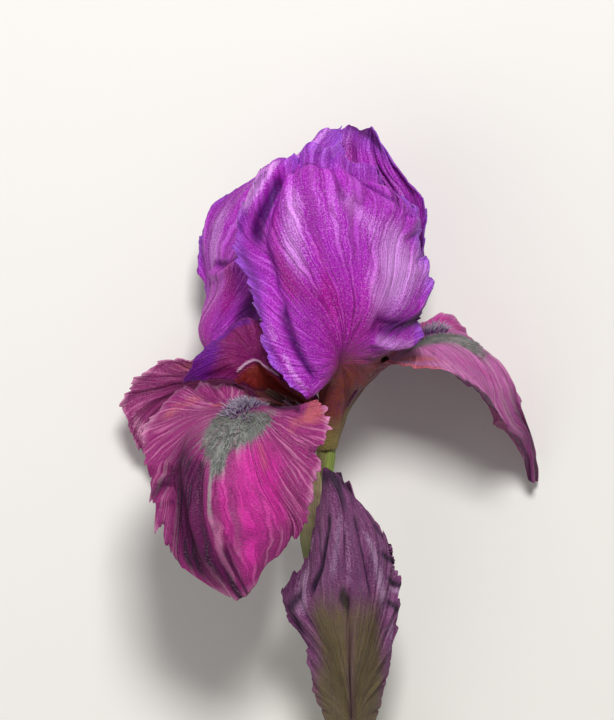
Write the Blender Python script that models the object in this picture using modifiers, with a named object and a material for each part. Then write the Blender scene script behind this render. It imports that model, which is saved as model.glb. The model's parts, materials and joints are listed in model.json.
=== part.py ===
"""Bearded iris: one open bloom and an opening bud on a cut stalk, lying on a table.

The flower is described in millimetres in the frame of someone looking down on it: x to the
right, y towards the top of the bloom, z up. The zero point is where the petals leave the
perianth tube. Each petal is a cage of rows across it, from its foot to its tip.
"""
import math

import bmesh
import bpy
import numpy as np
from mathutils import Vector

MM = 0.001
TABLE_Z = -42.0
BOX_CENTRE_X = 2.83
BOX_CENTRE_Y = -48.96

PETAL_THICKNESS = 0.8
SPATHE_THICKNESS = 0.7
SEAT_GAP = 0.35
AXIS_PITCH = 11.0
RIM_UP = -3.3
RIM_RADIUS = 5.2
CLAW_RADIUS = 4.2
CLAW_HALF_WIDTH = 1.35

# A petal row is left, middle and right point, then how far each half bows out of the chord.
FRONT_STANDARD = dict(
    azimuth=66, cells=(20, 14), focus=0.2, waves=[(9, 1.3, 0.4), (17, 0.8, 1.7)],
    folds=[(0.62, -0.80, 1.0, -0.40, 0.045, -5.0)],
    rows=[
        ((-2.2, 10.5, 12.5), (2.8, 10.0, 13.5), (7.0, 11.0, 10.5), 0.6, 0.8),
        ((-4.0, 20.0, 21.5), (3.5, 17.0, 19.5), (10.5, 16.5, 13.0), 1.0, 1.2),
        ((-8.5, 15.0, 36.5), (5.0, 24.5, 27.0), (15.0, 22.0, 15.0), 2.0, 1.5),
        ((-17.5, 23.5, 39.0), (6.5, 34.0, 34.0), (25.5, 30.0, 19.0), 1.5, 3.0),
        ((-22.0, 37.0, 37.0), (6.0, 45.0, 41.0), (34.5, 37.5, 21.0), 2.0, 5.0),
        ((-24.5, 50.0, 33.0), (2.0, 56.5, 46.5), (35.5, 52.0, 21.0), 3.0, 5.0),
        ((-30.5, 64.0, 35.0), (-2.0, 67.5, 48.5), (32.5, 65.5, 21.0), 0.0, 4.5),
        ((-28.0, 78.0, 37.0), (-5.0, 79.0, 47.0), (31.5, 74.5, 22.0), -1.0, 4.0),
        ((-21.5, 90.5, 37.0), (-6.0, 88.5, 44.0), (21.5, 82.5, 27.0), -0.5, 3.5),
        ((-15.0, 92.5, 33.0), (-5.0, 95.3, 37.5), (9.0, 90.5, 31.0), 0.5, 1.0),
    ])

LEFT_STANDARD = dict(
    azimuth=183, cells=(20, 14), focus=0.2, waves=[(10, 1.4, 1.0), (19, 0.8, 0.3)],
    rows=[
        ((-15.0, 9.0, -4.0), (-15.0, 9.0, 0.5), (-13.0, 10.5, 5.0), 0.5, 0.5),
        ((-31.0, 22.0, -9.0), (-31.5, 21.0, 2.0), (-25.0, 24.0, 9.0), 1.5, 1.5),
        ((-38.0, 37.0, -17.0), (-42.0, 34.0, 2.0), (-29.0, 34.0, 14.0), 4.0, 3.0),
        ((-43.5, 53.0, -20.0), (-40.0, 47.0, 5.0), (-23.0, 47.0, 20.0), 2.0, 4.0),
        ((-43.5, 66.0, -17.0), (-33.0, 59.0, 9.0), (-16.0, 60.0, 25.0), 1.0, 4.0),
        ((-37.5, 79.5, -10.0), (-25.0, 71.0, 13.0), (-9.0, 72.0, 28.0), 2.0, 4.0),
        ((-24.0, 91.0, -3.0), (-16.0, 84.0, 15.0), (-2.0, 83.0, 26.0), 2.0, 3.0),
        ((-8.0, 99.5, 2.0), (-6.0, 93.5, 14.0), (4.0, 92.0, 21.0), 1.0, 1.0),
    ])

BACK_STANDARD = dict(
    azimuth=303, cells=(20, 14), focus=0.2, waves=[(10, 1.2, 2.0), (19, 0.8, 0.9)],
    rows=[
        ((8.5, 11.5, -7.5), (6.0, 10.5, -9.5), (2.5, 11.5, -10.5), 0.5, 0.5),
        ((13.5, 26.0, -15.5), (11.0, 23.0, -20.5), (4.0, 24.5, -23.5), 1.5, 1.5),
        ((24.5, 41.0, -8.0), (20.0, 37.0, -25.0), (2.0, 39.0, -31.0), 3.0, 3.5),
        ((33.0, 52.0, 2.0), (25.0, 51.0, -26.0), (-5.0, 54.0, -31.0), 6.0, 6.0),
        ((33.5, 66.0, 5.0), (25.0, 66.0, -22.0), (-11.0, 69.0, -25.0), 6.0, 6.0),
        ((34.0, 79.5, 8.0), (24.0, 81.0, -14.0), (-12.0, 84.0, -14.0), 5.0, 5.0),
        ((29.0, 88.0, 10.0), (19.0, 94.0, -5.0), (-6.0, 97.0, -5.0), 3.0, 3.0),
        ((21.0, 94.0, 12.0), (13.0, 105.0, 3.0), (4.0, 107.5, 1.0), 1.5, 1.0),
    ])

FRONT_FALL = dict(
    azimuth=124, cells=(20, 14), focus=0.3, waves=[(8, 1.6, 0.0), (15, 1.0, 1.1)],
    folds=[(0.55, -0.35, 1.0, -0.25, 0.05, -3.0)],
    rows=[
        ((-10.0, 5.5, 7.5), (-7.0, 3.5, 11.0), (-2.5, 5.0, 14.0), 0.4, 0.4),
        ((-20.5, 11.0, 16.5), (-13.5, 7.5, 21.0), (-4.0, 10.5, 26.5), 0.8, 0.8),
        ((-37.0, 13.0, 23.0), (-21.5, 10.0, 33.0), (-1.5, 11.0, 40.0), 0.5, 0.5),
        ((-54.5, 9.0, 30.0), (-29.5, 6.0, 45.0), (0.0, 4.0, 50.0), 0.0, 1.0),
        ((-61.5, -3.5, 40.0), (-35.5, -5.0, 52.5), (-3.0, -5.0, 54.0), 1.0, 2.0),
        ((-58.5, -17.0, 45.0), (-37.5, -16.5, 55.0), (-5.0, -16.0, 56.0), 1.0, 2.0),
        ((-51.0, -29.0, 45.0), (-36.0, -28.5, 53.5), (-5.5, -28.0, 54.0), 1.0, 1.5),
        ((-46.5, -40.5, 41.0), (-32.5, -41.5, 48.5), (-14.0, -38.5, 49.0), 0.5, 1.0),
        ((-36.5, -48.5, 39.0), (-27.5, -53.5, 42.0), (-20.5, -46.5, 43.0), 0.0, 0.5),
    ])

RIGHT_FALL = dict(
    azimuth=3, cells=(20, 14), focus=0.3, waves=[(8, 1.3, 0.6), (15, 0.9, 2.1)],
    rows=[
        ((10.5, 9.5, 4.5), (10.5, 7.0, 0.0), (9.5, 8.0, -3.5), 0.4, 0.4),
        ((20.5, 24.0, 9.0), (19.0, 20.5, 0.0), (17.0, 22.0, -8.0), 0.8, 0.8),
        ((33.0, 23.8, 19.0), (31.0, 30.5, -2.0), (30.0, 36.0, -21.0), 0.6, 0.3),
        ((43.5, 21.5, 22.0), (43.0, 34.0, -8.0), (42.0, 41.0, -33.0), 2.0, 2.0),
        ((53.0, 15.0, 17.0), (54.0, 30.0, -13.0), (53.0, 35.0, -39.5), 3.0, 3.0),
        ((58.0, 6.0, 8.0), (63.0, 21.0, -18.0), (62.5, 22.0, -41.5), 3.0, 3.0),
        ((61.0, 1.5, -2.0), (67.0, 10.0, -23.5), (68.5, 10.0, -41.8), 2.0, 2.0),
        ((66.5, -5.0, -16.0), (71.0, 0.0, -30.0), (74.0, -2.0, -41.3), 1.0, 1.0),
        ((68.0, -13.0, -27.0), (72.5, -15.5, -34.5), (75.0, -11.5, -40.5), 0.5, 0.5),
    ])

BACK_FALL = dict(
    azimuth=236, cells=(20, 14), focus=0.3, waves=[(8, 1.4, 0.5), (15, 0.9, 1.4)],
    rows=[
        ((-6.0, 8.0, -12.5), (-8.5, 6.0, -10.5), (-12.0, 8.0, -7.5), 0.4, 0.4),
        ((-11.0, 18.0, -25.0), (-18.0, 14.0, -20.0), (-26.0, 18.0, -13.0), 0.8, 0.8),
        ((-15.0, 17.0, -39.0), (-31.0, 17.5, -29.0), (-49.0, 24.0, -15.0), 0.0, 0.0),
        ((-22.0, 8.0, -42.2), (-43.0, 13.0, -36.0), (-66.0, 17.5, -18.0), 1.0, 1.0),
        ((-26.0, -5.0, -42.8), (-50.0, 3.0, -39.0), (-69.5, 6.5, -22.0), 2.0, 2.0),
        ((-28.0, -18.0, -42.8), (-51.0, -9.0, -41.5), (-64.5, -5.0, -28.0), 1.0, 1.0),
        ((-31.0, -27.5, -42.4), (-47.5, -21.0, -41.8), (-57.5, -17.0, -35.0), 0.5, 0.5),
        ((-36.5, -34.0, -41.6), (-45.5, -31.5, -41.2), (-53.0, -25.5, -38.0), 0.0, 0.0),
    ])

# Style arm over the front fall: the second row here is the lip, the crest spreads past it.
FRONT_ARM = dict(
    azimuth=129, cells=(14, 10), focus=0.3, waves=[(9, 0.7, 0.5), (16, 0.4, 1.4)],
    rows=[
        ((-25.0, 18.0, 19.5), (-18.0, 22.5, 22.0), (-12.5, 18.0, 24.5), 1.6, 1.6),
        ((-31.5, 20.0, 23.0), (-24.0, 27.0, 26.0), (-17.0, 21.5, 28.5), 2.0, 2.0),
        ((-41.0, 20.0, 22.0), (-27.5, 32.5, 26.5), (-15.5, 30.0, 27.5), 2.0, 2.0),
        ((-51.0, 21.5, 20.0), (-31.5, 37.0, 24.0), (-16.0, 40.0, 24.5), 5.0, 5.0),
    ])
FRONT_ARM_FOOT = [(2.3, 3.3, 1.2, 0.0, 0.1), (6.0, 9.5, 2.2, 0.8, 0.6), (12.0, 15.5, 3.0, 1.5, 1.0)]

# Hidden arms: distance out, height up, half width, drop of the edges, bow, for each row.
RIGHT_ARM = dict(
    azimuth=3, cells=(14, 10), focus=0.3, waves=[(9, 0.6, 0.5), (16, 0.4, 1.4)],
    profile=[(2.3, 3.3, 1.2, 0.0, 0.1), (5.5, 10.0, 2.2, 0.8, 0.6), (10.0, 17.5, 3.2, 1.5, 1.0),
             (14.5, 25.5, 4.2, 2.0, 1.5), (18.5, 32.0, 5.0, 2.5, 1.8),
             (20.5, 38.0, 6.5, 2.0, 1.5), (23.5, 44.0, 8.0, -1.0, 2.0)])
BACK_ARM = dict(
    azimuth=236, cells=(14, 10), focus=0.3, waves=[(9, 0.6, 0.5), (16, 0.4, 1.4)],
    profile=[(2.3, 3.3, 1.2, 0.0, 0.1), (6.0, 9.5, 2.4, 0.8, 0.6), (13.5, 14.5, 4.0, 1.5, 1.2),
             (21.5, 17.5, 5.5, 3.0, 1.8), (27.0, 20.0, 6.5, 3.0, 2.0),
             (29.0, 26.0, 8.5, 2.0, 1.5), (31.0, 32.0, 11.0, -1.0, 3.0)])

# Each beard runs along its fall from one share of the fall's length to another.
BEARD_SPANS = {"front": (0.20, 0.50), "right": (0.26, 0.52), "back": (0.28, 0.46)}
BEARD_HALF_WIDTH = 0.055
BEARD_CORE = 1.1
BEARD_GAP = 0.55
BEARD_HAIRS = (15, 3)
HAIR_LENGTH = 4.2
HAIR_RADIUS = 0.42

STAMEN_FILAMENT_RADIUS = 0.5
ANTHER_RADIUS = 1.1

BUD_FOOT = (9.5, -118.0, -11.5)
BUD_TIP = (4.0, -12.0, 20.5)
BUD_FRONT_FALL = dict(
    cells=(16, 8), focus=0.3, waves=[(8, 1.0, 0.5), (15, 0.6, 1.4)],
    rows=[
        ((6.2, -119.0, -8.8), (9.5, -119.4, -7.3), (12.8, -119.0, -8.8), 0.3, 0.3),
        ((1.5, -104.0, -4.5), (8.8, -105.0, 1.5), (16.0, -104.0, -4.5), 1.5, 1.5),
        ((-1.5, -92.0, -2.0), (8.5, -93.0, 6.0), (18.0, -92.0, -2.0), 2.0, 2.0),
        ((-4.5, -81.5, 1.0), (8.0, -82.0, 11.0), (20.5, -81.0, 1.0), 2.5, 2.5),
        ((-7.0, -70.0, 4.0), (8.0, -71.0, 16.0), (22.5, -70.0, 4.0), 3.0, 3.0),
        ((-14.0, -57.0, 9.0), (8.0, -59.0, 20.5), (25.0, -57.0, 9.0), 3.0, 3.0),
        ((-10.5, -46.0, 11.0), (7.5, -47.0, 24.0), (24.5, -46.0, 11.0), 3.5, 3.5),
        ((-7.0, -35.0, 14.0), (7.0, -35.0, 27.0), (21.5, -35.0, 14.0), 3.5, 3.5),
        ((-4.0, -24.0, 18.0), (5.5, -22.0, 28.5), (14.0, -25.0, 18.0), 2.0, 2.0),
        ((-1.5, -15.0, 21.5), (3.5, -11.5, 26.0), (8.0, -16.0, 22.5), 0.5, 0.5),
    ])
# Side falls of the bud: share of the bud's length, radius there.
BUD_SIDE_PROFILE = [(0.0, 4.6), (0.13, 7.6), (0.27, 9.6), (0.42, 11.2), (0.56, 11.2),
                    (0.70, 9.8), (0.84, 7.4), (0.96, 4.2)]
BUD_SIDE_SWEEP = (4.0, 82.0)
BUD_CORE_PROFILE = [(0.02, 2.2), (0.15, 4.2), (0.35, 6.6), (0.55, 7.2), (0.75, 5.8), (0.90, 3.2),
                    (1.0, 0.8)]
BUD_CORE_TURNS = 0.45

# Tubes: each point is x, y, z and the radius there.
PERIANTH_TUBE = [(-2.6, -42.0, -9.6, 3.2), (-2.8, -37.0, -8.0, 3.9), (-2.7, -29.0, -6.2, 4.6),
                 (-1.8, -21.0, -4.4, 3.8), (-0.6, -13.0, -2.6, 2.7)]
STALK = [(-2.5, -42.7, -9.9, 3.5), (-1.0, -56.0, -15.5, 3.8), (3.0, -76.0, -22.5, 4.0),
         (7.0, -102.0, -29.5, 4.2), (10.0, -132.0, -34.3, 4.4), (12.0, -166.0, -37.15, 4.5),
         (13.5, -206.0, -37.64, 4.55)]
BRANCH = [(12.3, -168.0, -36.5, 3.0), (11.9, -160.0, -31.5, 3.0), (11.2, -152.0, -26.6, 3.0)]
BUD_TUBE = [(11.1, -151.4, -26.2, 3.0), (10.6, -143.0, -22.2, 4.0), (10.2, -134.0, -18.4, 4.7),
            (9.8, -126.0, -15.0, 3.9)]
STALK_SIDES_HALF = 3

# Spathe: sweep of the wrap in degrees, then share of length, radius and sweep share per row.
SPATHES = {
    "outer_spathe": dict(route=[(-2.3, -45.5, -11.0), (-2.6, -30.0, -6.6), (-2.2, -9.0, -1.8)],
                         turn=196, sweep=150, radii=(4.3, 6.0, 6.4, 6.0), taper=(0.7, 1.0, 0.8, 0.18)),
    "inner_spathe": dict(route=[(-2.3, -45.5, -11.0), (-2.6, -30.0, -6.6), (-1.6, -17.0, -3.6)],
                         turn=18, sweep=140, radii=(4.3, 6.0, 6.2, 5.6), taper=(0.7, 1.0, 0.8, 0.18)),
    "bud_outer_spathe": dict(route=[(11.4, -155.0, -28.2), (10.3, -134.0, -18.4), (9.2, -100.0, -6.5)],
                             turn=178, sweep=165, radii=(3.9, 6.4, 8.6, 11.5), taper=(0.8, 1.0, 0.8, 0.2)),
    "bud_inner_spathe": dict(route=[(11.4, -155.0, -28.2), (10.3, -134.0, -18.4), (9.4, -106.0, -8.5)],
                             turn=0, sweep=150, radii=(3.9, 6.4, 8.4, 10.8), taper=(0.8, 1.0, 0.8, 0.2)),
}

VIOLET = (0.30, 0.05, 0.45)
MAGENTA = (0.42, 0.05, 0.28)
WINE = (0.22, 0.03, 0.12)
PLUM = (0.13, 0.05, 0.15)
BEARD_GREY = (0.42, 0.40, 0.36)
GREEN = (0.22, 0.30, 0.10)
PAPER = (0.55, 0.50, 0.32)
CREAM = (0.70, 0.66, 0.52)


def natural_spline(points, stations):
    """Natural cubic spline through points at whole-number stations, read at the stations."""
    points = np.asarray(points, float)
    count = len(points)
    flat = points.reshape(count, -1)
    matrix = np.eye(count) * 4.0
    bend = np.zeros_like(flat)
    for i in range(1, count - 1):
        matrix[i, i - 1] = matrix[i, i + 1] = 1.0
        bend[i] = 6.0 * (flat[i - 1] - 2.0 * flat[i] + flat[i + 1])
    matrix[0] = np.eye(count)[0]
    matrix[-1] = np.eye(count)[-1]
    curvature = np.linalg.solve(matrix, bend)
    stations = np.clip(np.asarray(stations, float), 0, count - 1)
    i = np.minimum(stations.astype(int), count - 2)
    part = (stations - i)[:, None]
    rest = 1.0 - part
    out = rest * flat[i] + part * flat[i + 1]
    out += ((rest ** 3 - rest) * curvature[i] + (part ** 3 - part) * curvature[i + 1]) / 6.0
    return out.reshape((len(stations),) + points.shape[1:])


def unit(vectors):
    return vectors / np.maximum(np.linalg.norm(vectors, axis=-1, keepdims=True), 1e-9)


def around_axis(radius, up, side, azimuth):
    """A point by its distance out, up and sideways from the bloom's own axis."""
    pitch = math.radians(AXIS_PITCH)
    turn = math.radians(azimuth)
    axis = np.array([0.0, math.cos(pitch), math.sin(pitch)])
    front = np.array([0.0, -math.sin(pitch), math.cos(pitch)])
    right = np.array([1.0, 0.0, 0.0])
    outward = math.cos(turn) * right + math.sin(turn) * front
    across = math.sin(turn) * right - math.cos(turn) * front
    return axis * up + outward * radius + across * side


def arm_rows(profile, azimuth):
    """Rows of a style arm from its distances out and up."""
    return [(around_axis(out, up - drop, -half, azimuth), around_axis(out, up, 0, azimuth),
             around_axis(out, up - drop, half, azimuth), bow, bow)
            for out, up, half, drop, bow in profile]


def claw_row(azimuth):
    """Foot of a petal: a short chord of the ring that stands on the tube's rim."""
    up = RIM_UP + SEAT_GAP + 0.35
    half = CLAW_HALF_WIDTH
    return (around_axis(CLAW_RADIUS, up, -half, azimuth), around_axis(CLAW_RADIUS + 0.2, up, 0, azimuth),
            around_axis(CLAW_RADIUS, up, half, azimuth), 0.05, 0.05)


def cage(rows):
    """Five points across each row: the edges, the middle and the two bowed halves."""
    left = np.array([row[0] for row in rows], float)
    middle = np.array([row[1] for row in rows], float)
    right = np.array([row[2] for row in rows], float)
    bow = np.array([row[3:] for row in rows], float)
    tangent = unit(np.gradient(middle, axis=0))
    normal = unit(np.cross(right - left, tangent))
    left_half = (left + middle) / 2 + bow[:, :1] * normal
    right_half = (middle + right) / 2 + bow[:, 1:] * normal
    return np.stack([left, left_half, middle, right_half, right], axis=1)


def surface_normals(points):
    return unit(np.cross(np.gradient(points, axis=1), np.gradient(points, axis=0)))


def relief(petal, u, v):
    """How far the surface leaves the cage: frilled margins and long folds."""
    height = np.zeros_like(u)
    focus = petal["focus"]
    fan = np.arctan2(v * 0.78, u - focus)
    edge = np.maximum(np.abs(v), np.clip((u - focus) / (1 - focus), 0, 1))
    margin = np.clip((edge - 0.45) / 0.55, 0, 1) ** 1.6 * np.clip((u - 0.2) / 0.15, 0, 1)
    for count, size, phase in petal["waves"]:
        height += size * np.sin(count * fan + phase) * margin
    for u0, v0, u1, v1, width, depth in petal.get("folds", ()):
        start = np.array([u0, v0 * 0.5])
        run = np.array([u1, v1 * 0.5]) - start
        here = np.stack([u, v * 0.5], axis=-1) - start
        along = np.clip(here @ run / (run @ run), 0, 1)
        distance = np.linalg.norm(here - along[..., None] * run, axis=-1)
        height += depth * np.exp(-(distance / width) ** 2)
    return height


def petal_surface(petal, u_values, v_values):
    """Points of the petal's middle surface, with its margins frilled and laid on the table."""
    rows = petal["rows"]
    across = natural_spline(cage(rows), u_values * (len(rows) - 1))
    points = natural_spline(np.swapaxes(across, 0, 1), (v_values + 1) * 2)
    points = np.swapaxes(points, 0, 1)
    u, v = np.meshgrid(u_values, v_values, indexing="ij")
    points = points + surface_normals(points) * relief(petal, u, v)[..., None]
    points[..., 2] = np.maximum(points[..., 2], TABLE_Z + PETAL_THICKNESS / 2)
    return points


def to_world(points):
    """Millimetres of the bloom's frame to metres on the table."""
    return (np.asarray(points, float) - (BOX_CENTRE_X, BOX_CENTRE_Y, TABLE_Z)) * MM


def material(name, colour, roughness):
    finish = bpy.data.materials.new(name)
    finish.use_nodes = True
    shader = finish.node_tree.nodes["Principled BSDF"]
    shader.inputs["Base Color"].default_value = (*colour, 1.0)
    shader.inputs["Roughness"].default_value = roughness
    finish.diffuse_color = (*colour, 1.0)
    return finish


def add_object(name, mesh, finish):
    mesh.name = name
    thing = bpy.data.objects.new(name, mesh)
    bpy.data.collections["iris flower"].objects.link(thing)
    mesh.materials.append(finish)
    mesh.shade_smooth()
    return thing


def grid_mesh(points):
    """A triangulated grid of Blender's own, moved onto the given rows of points."""
    rows, columns = points.shape[:2]
    bm = bmesh.new()
    bmesh.ops.create_grid(bm, x_segments=columns - 1, y_segments=rows - 1, size=1.0)
    for vertex in bm.verts:
        column = round((vertex.co.x + 1) / 2 * (columns - 1))
        row = round((vertex.co.y + 1) / 2 * (rows - 1))
        vertex.co = points[row, column]
    bmesh.ops.triangulate(bm, faces=bm.faces)
    mesh = bpy.data.meshes.new("sheet")
    bm.to_mesh(mesh)
    bm.free()
    return mesh


def add_sheet(name, points, thickness, finish, offset=0.0):
    """A thin blade: the sheet of points with an even thickness."""
    thing = add_object(name, grid_mesh(to_world(points)), finish)
    thickener = thing.modifiers.new("thickness", "SOLIDIFY")
    thickener.thickness = thickness * MM
    thickener.offset = offset
    return thing


def add_petal(name, petal, finish):
    rows, columns = petal["cells"]
    points = petal_surface(petal, np.linspace(0, 1, rows + 1), np.linspace(-1, 1, columns + 1))
    return add_sheet(name, points, PETAL_THICKNESS, finish)


def tube_mesh(route, stations, half_sides):
    """A round tube along a smooth route; each route point carries its radius."""
    points = natural_spline(route, np.linspace(0, len(route) - 1, stations))
    return swept_mesh(points, half_sides)


def swept_mesh(points, half_sides):
    curve = bpy.data.curves.new("tube", "CURVE")
    curve.dimensions = "3D"
    curve.bevel_depth = MM
    curve.bevel_resolution = half_sides
    curve.use_fill_caps = True
    spline = curve.splines.new("POLY")
    spline.points.add(len(points) - 1)
    for target, point in zip(spline.points, points):
        target.co = (*to_world(point[:3]), 1.0)
        target.radius = point[3]
    carrier = bpy.data.objects.new("tube", curve)
    bpy.context.scene.collection.objects.link(carrier)
    evaluated = carrier.evaluated_get(bpy.context.evaluated_depsgraph_get())
    mesh = bpy.data.meshes.new_from_object(evaluated)
    bpy.data.objects.remove(carrier)
    bpy.data.curves.remove(curve)
    bm = bmesh.new()
    bm.from_mesh(mesh)
    bmesh.ops.remove_doubles(bm, verts=bm.verts, dist=1e-6)
    bmesh.ops.recalc_face_normals(bm, faces=bm.faces)
    bm.to_mesh(mesh)
    bm.free()
    return mesh


def join(name, pieces, finish):
    """Unite overlapping pieces into one closed solid and drop the loose ones."""
    body = pieces[0]
    repeats = bpy.data.collections.new(name + " repeats")
    for piece in pieces[1:]:
        repeats.objects.link(piece)
    union = body.modifiers.new("union", "BOOLEAN")
    union.operation = "UNION"
    union.operand_type = "COLLECTION"
    union.collection = repeats
    union.solver = "EXACT"
    graph = bpy.context.evaluated_depsgraph_get()
    mesh = bpy.data.meshes.new_from_object(body.evaluated_get(graph))
    for piece in pieces:
        bpy.data.objects.remove(piece)
    bpy.data.collections.remove(repeats)
    mesh.materials.clear()
    return add_object(name, mesh, finish)


def spike_mesh(root, tip, radius):
    """A three-sided hair from its sunk root to its tip."""
    root = Vector(to_world(root))
    run = Vector(to_world(tip)) - root
    bm = bmesh.new()
    bmesh.ops.create_cone(bm, cap_ends=True, cap_tris=True, segments=3, radius1=radius * MM,
                          radius2=0.0, depth=run.length)
    turn = run.to_track_quat("Z", "Y").to_matrix().to_4x4()
    bmesh.ops.transform(bm, matrix=turn, verts=bm.verts)
    bmesh.ops.translate(bm, vec=root + run / 2, verts=bm.verts)
    bmesh.ops.triangulate(bm, faces=bm.faces)
    mesh = bpy.data.meshes.new("spike")
    bm.to_mesh(mesh)
    bm.free()
    return mesh


def add_beard(name, fall, span, finish):
    """The beard: a slim strip seated on the fall's upper face, set with three-sided hairs."""
    u_values = np.linspace(*span, 12)
    v_values = np.linspace(-BEARD_HALF_WIDTH, BEARD_HALF_WIDTH, 3)
    sheet = petal_surface(fall, u_values, v_values)
    normals = -surface_normals(sheet)
    lift = PETAL_THICKNESS / 2 + BEARD_GAP + BEARD_CORE / 2
    strip = add_sheet("strip", sheet + normals * lift, BEARD_CORE, finish)
    pieces = [strip]
    count, lanes = BEARD_HAIRS
    for step in range(count):
        for lane in range(lanes):
            share = (step + 0.5 + 0.3 * math.sin(2.1 * step + lane)) / count
            along = span[0] + (span[1] - span[0]) * (0.03 + 0.94 * share)
            across = (lane - (lanes - 1) / 2) * BEARD_HALF_WIDTH * 0.55
            patch = petal_surface(fall, np.array([along, along + 0.01]), np.array([across, across + 0.01]))
            here = patch[0, 0]
            up = -surface_normals(patch)[0, 0]
            forward = unit(patch[1, 0] - here)
            aside = unit(patch[0, 1] - here)
            lean = 0.35 * forward + 0.55 * (lane - (lanes - 1) / 2) * aside
            length = HAIR_LENGTH * (0.4 + 0.5 * math.sin(math.pi * share) + 0.15 * math.sin(1.7 * step + 2.3 * lane))
            root = here + up * (lift - 0.1)
            spike = spike_mesh(root, root + unit(up + lean) * length, HAIR_RADIUS)
            pieces.append(add_object("hair", spike, finish))
    return join(name, pieces, finish)


def add_stamen(name, arm, fall, finish):
    """Filament and anther in the space between a style arm and its fall."""
    azimuth = fall["azimuth"]
    foot = around_axis(2.8, RIM_UP + SEAT_GAP, 0, azimuth)
    past_foot = around_axis(3.8, 2.5, 0, azimuth)
    upper = petal_surface(arm, np.array([0.28, 0.50, 0.66, 0.68]), np.array([0.0, 0.01]))[:, 0]
    lower = petal_surface(fall, np.array([0.10, 0.20, 0.29, 0.30]), np.array([0.0, 0.01]))[:, 0]
    way = upper * 0.40 + lower * 0.60
    thin = STAMEN_FILAMENT_RADIUS
    route = [(*foot, thin), (*past_foot, thin), (*way[0], thin), (*way[1], thin * 0.9)]
    filament = swept_mesh(natural_spline(route, np.linspace(0, 3, 13)), 1)
    run = unit(way[2] - way[1])
    anther = [(*(way[1] - run * 1.0), 0.5), (*(way[1] + run * 0.2), ANTHER_RADIUS)]
    anther += [(*(way[1] + run * 7.5), ANTHER_RADIUS * 0.9), (*(way[1] + run * 9.0), 0.35)]
    pieces = [add_object("filament", filament, finish),
              add_object("anther", swept_mesh(np.array(anther), 1), finish)]
    return join(name, pieces, finish)


def add_perianth_tube(finish):
    """Ovary and tube, widening to the rim, with the style column inside the ring of petals."""
    low = natural_spline(PERIANTH_TUBE, np.linspace(0, len(PERIANTH_TUBE) - 1, 17))
    top = [(*around_axis(0, RIM_UP - 4.0, 0, 0), 3.0), (*around_axis(0, RIM_UP - 1.2, 0, 0), 4.3),
           (*around_axis(0, RIM_UP, 0, 0), RIM_RADIUS), (*around_axis(0, RIM_UP + 0.02, 0, 0), 1.75),
           (*around_axis(0, 4.6, 0, 0), 1.5)]
    return add_object("perianth_tube", swept_mesh(np.vstack([low, top]), 4), finish)


def add_stalk(finish):
    """The cut stalk with the short branch that bears the bud."""
    stem = add_object("stem", tube_mesh(STALK, 26, STALK_SIDES_HALF), finish)
    branch = add_object("branch", tube_mesh(BRANCH, 5, STALK_SIDES_HALF), finish)
    return join("stalk", [stem, branch], finish)


def bud_frame(share):
    """Centre of the bud at a share of its length, with its axis, right and front."""
    foot = np.array(BUD_FOOT)
    run = np.array(BUD_TIP) - foot
    axis = unit(run)
    right = unit(np.cross(axis, (0.0, 0.0, 1.0)))
    front = np.cross(right, axis)
    return foot + run * share, axis, right, front


def bud_side_fall(sign):
    """A side fall of the bud: wraps from the side round the back, its back outward."""
    rows = []
    start, end = BUD_SIDE_SWEEP
    for share, radius in BUD_SIDE_PROFILE:
        centre, axis, right, front = bud_frame(share)
        points = []
        for angle in (start, (start + end) / 2, end):
            turn = math.radians(angle)
            points.append(centre + radius * (sign * right * math.cos(turn) - front * math.sin(turn)))
        bow = radius * (1 - math.cos(math.radians((end - start) / 4))) * sign
        rows.append((points[0], points[1], points[2], bow, bow))
    return dict(rows=rows, cells=(14, 8), focus=0.3, waves=[(7, 0.7, 0.3), (13, 0.4, 1.1)])


def add_bud_core(finish):
    """The bud's three standards, still rolled round each other into one pointed cone."""
    rings = []
    angles = np.linspace(0, 2 * math.pi, 19)[:-1]
    for share, radius in BUD_CORE_PROFILE:
        centre, axis, right, front = bud_frame(share)
        twist = 2 * math.pi * BUD_CORE_TURNS * share
        folds = 1 + 0.10 * np.sin(3 * (angles + twist))
        ring = [centre + radius * grow * (right * math.cos(a) + front * math.sin(a))
                for a, grow in zip(angles, folds)]
        rings.append(ring)
    rings = natural_spline(rings, np.linspace(0, len(rings) - 1, 19))
    bm = bmesh.new()
    bmesh.ops.create_cone(bm, cap_ends=True, segments=18, radius1=1.0, radius2=1.0, depth=2.0)
    uprights = [edge for edge in bm.edges if abs(edge.verts[0].co.z - edge.verts[1].co.z) > 1.0]
    bmesh.ops.subdivide_edges(bm, edges=uprights, cuts=len(rings) - 2)
    for vertex in bm.verts:
        level = round((vertex.co.z + 1) / 2 * (len(rings) - 1))
        angle = math.atan2(vertex.co.x, vertex.co.y) % (2 * math.pi)
        vertex.co = to_world(rings[level][round(angle / (2 * math.pi) * 18) % 18])
    bmesh.ops.triangulate(bm, faces=bm.faces)
    bmesh.ops.recalc_face_normals(bm, faces=bm.faces)
    mesh = bpy.data.meshes.new("core")
    bm.to_mesh(mesh)
    bm.free()
    return add_object("bud_core", mesh, finish)


def add_bud_tube(finish):
    """Ovary and tube of the bud, widening to the ring that the bud's falls stand on."""
    low = natural_spline(BUD_TUBE, np.linspace(0, len(BUD_TUBE) - 1, 12))
    centre, axis, right, front = bud_frame(0.0)
    seat = centre - axis * (SEAT_GAP + 0.4)
    top = [(*(seat - axis * 3.0), 3.9), (*seat, 5.4)]
    return add_object("bud_tube", swept_mesh(np.vstack([low, top]), 4), finish)


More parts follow.
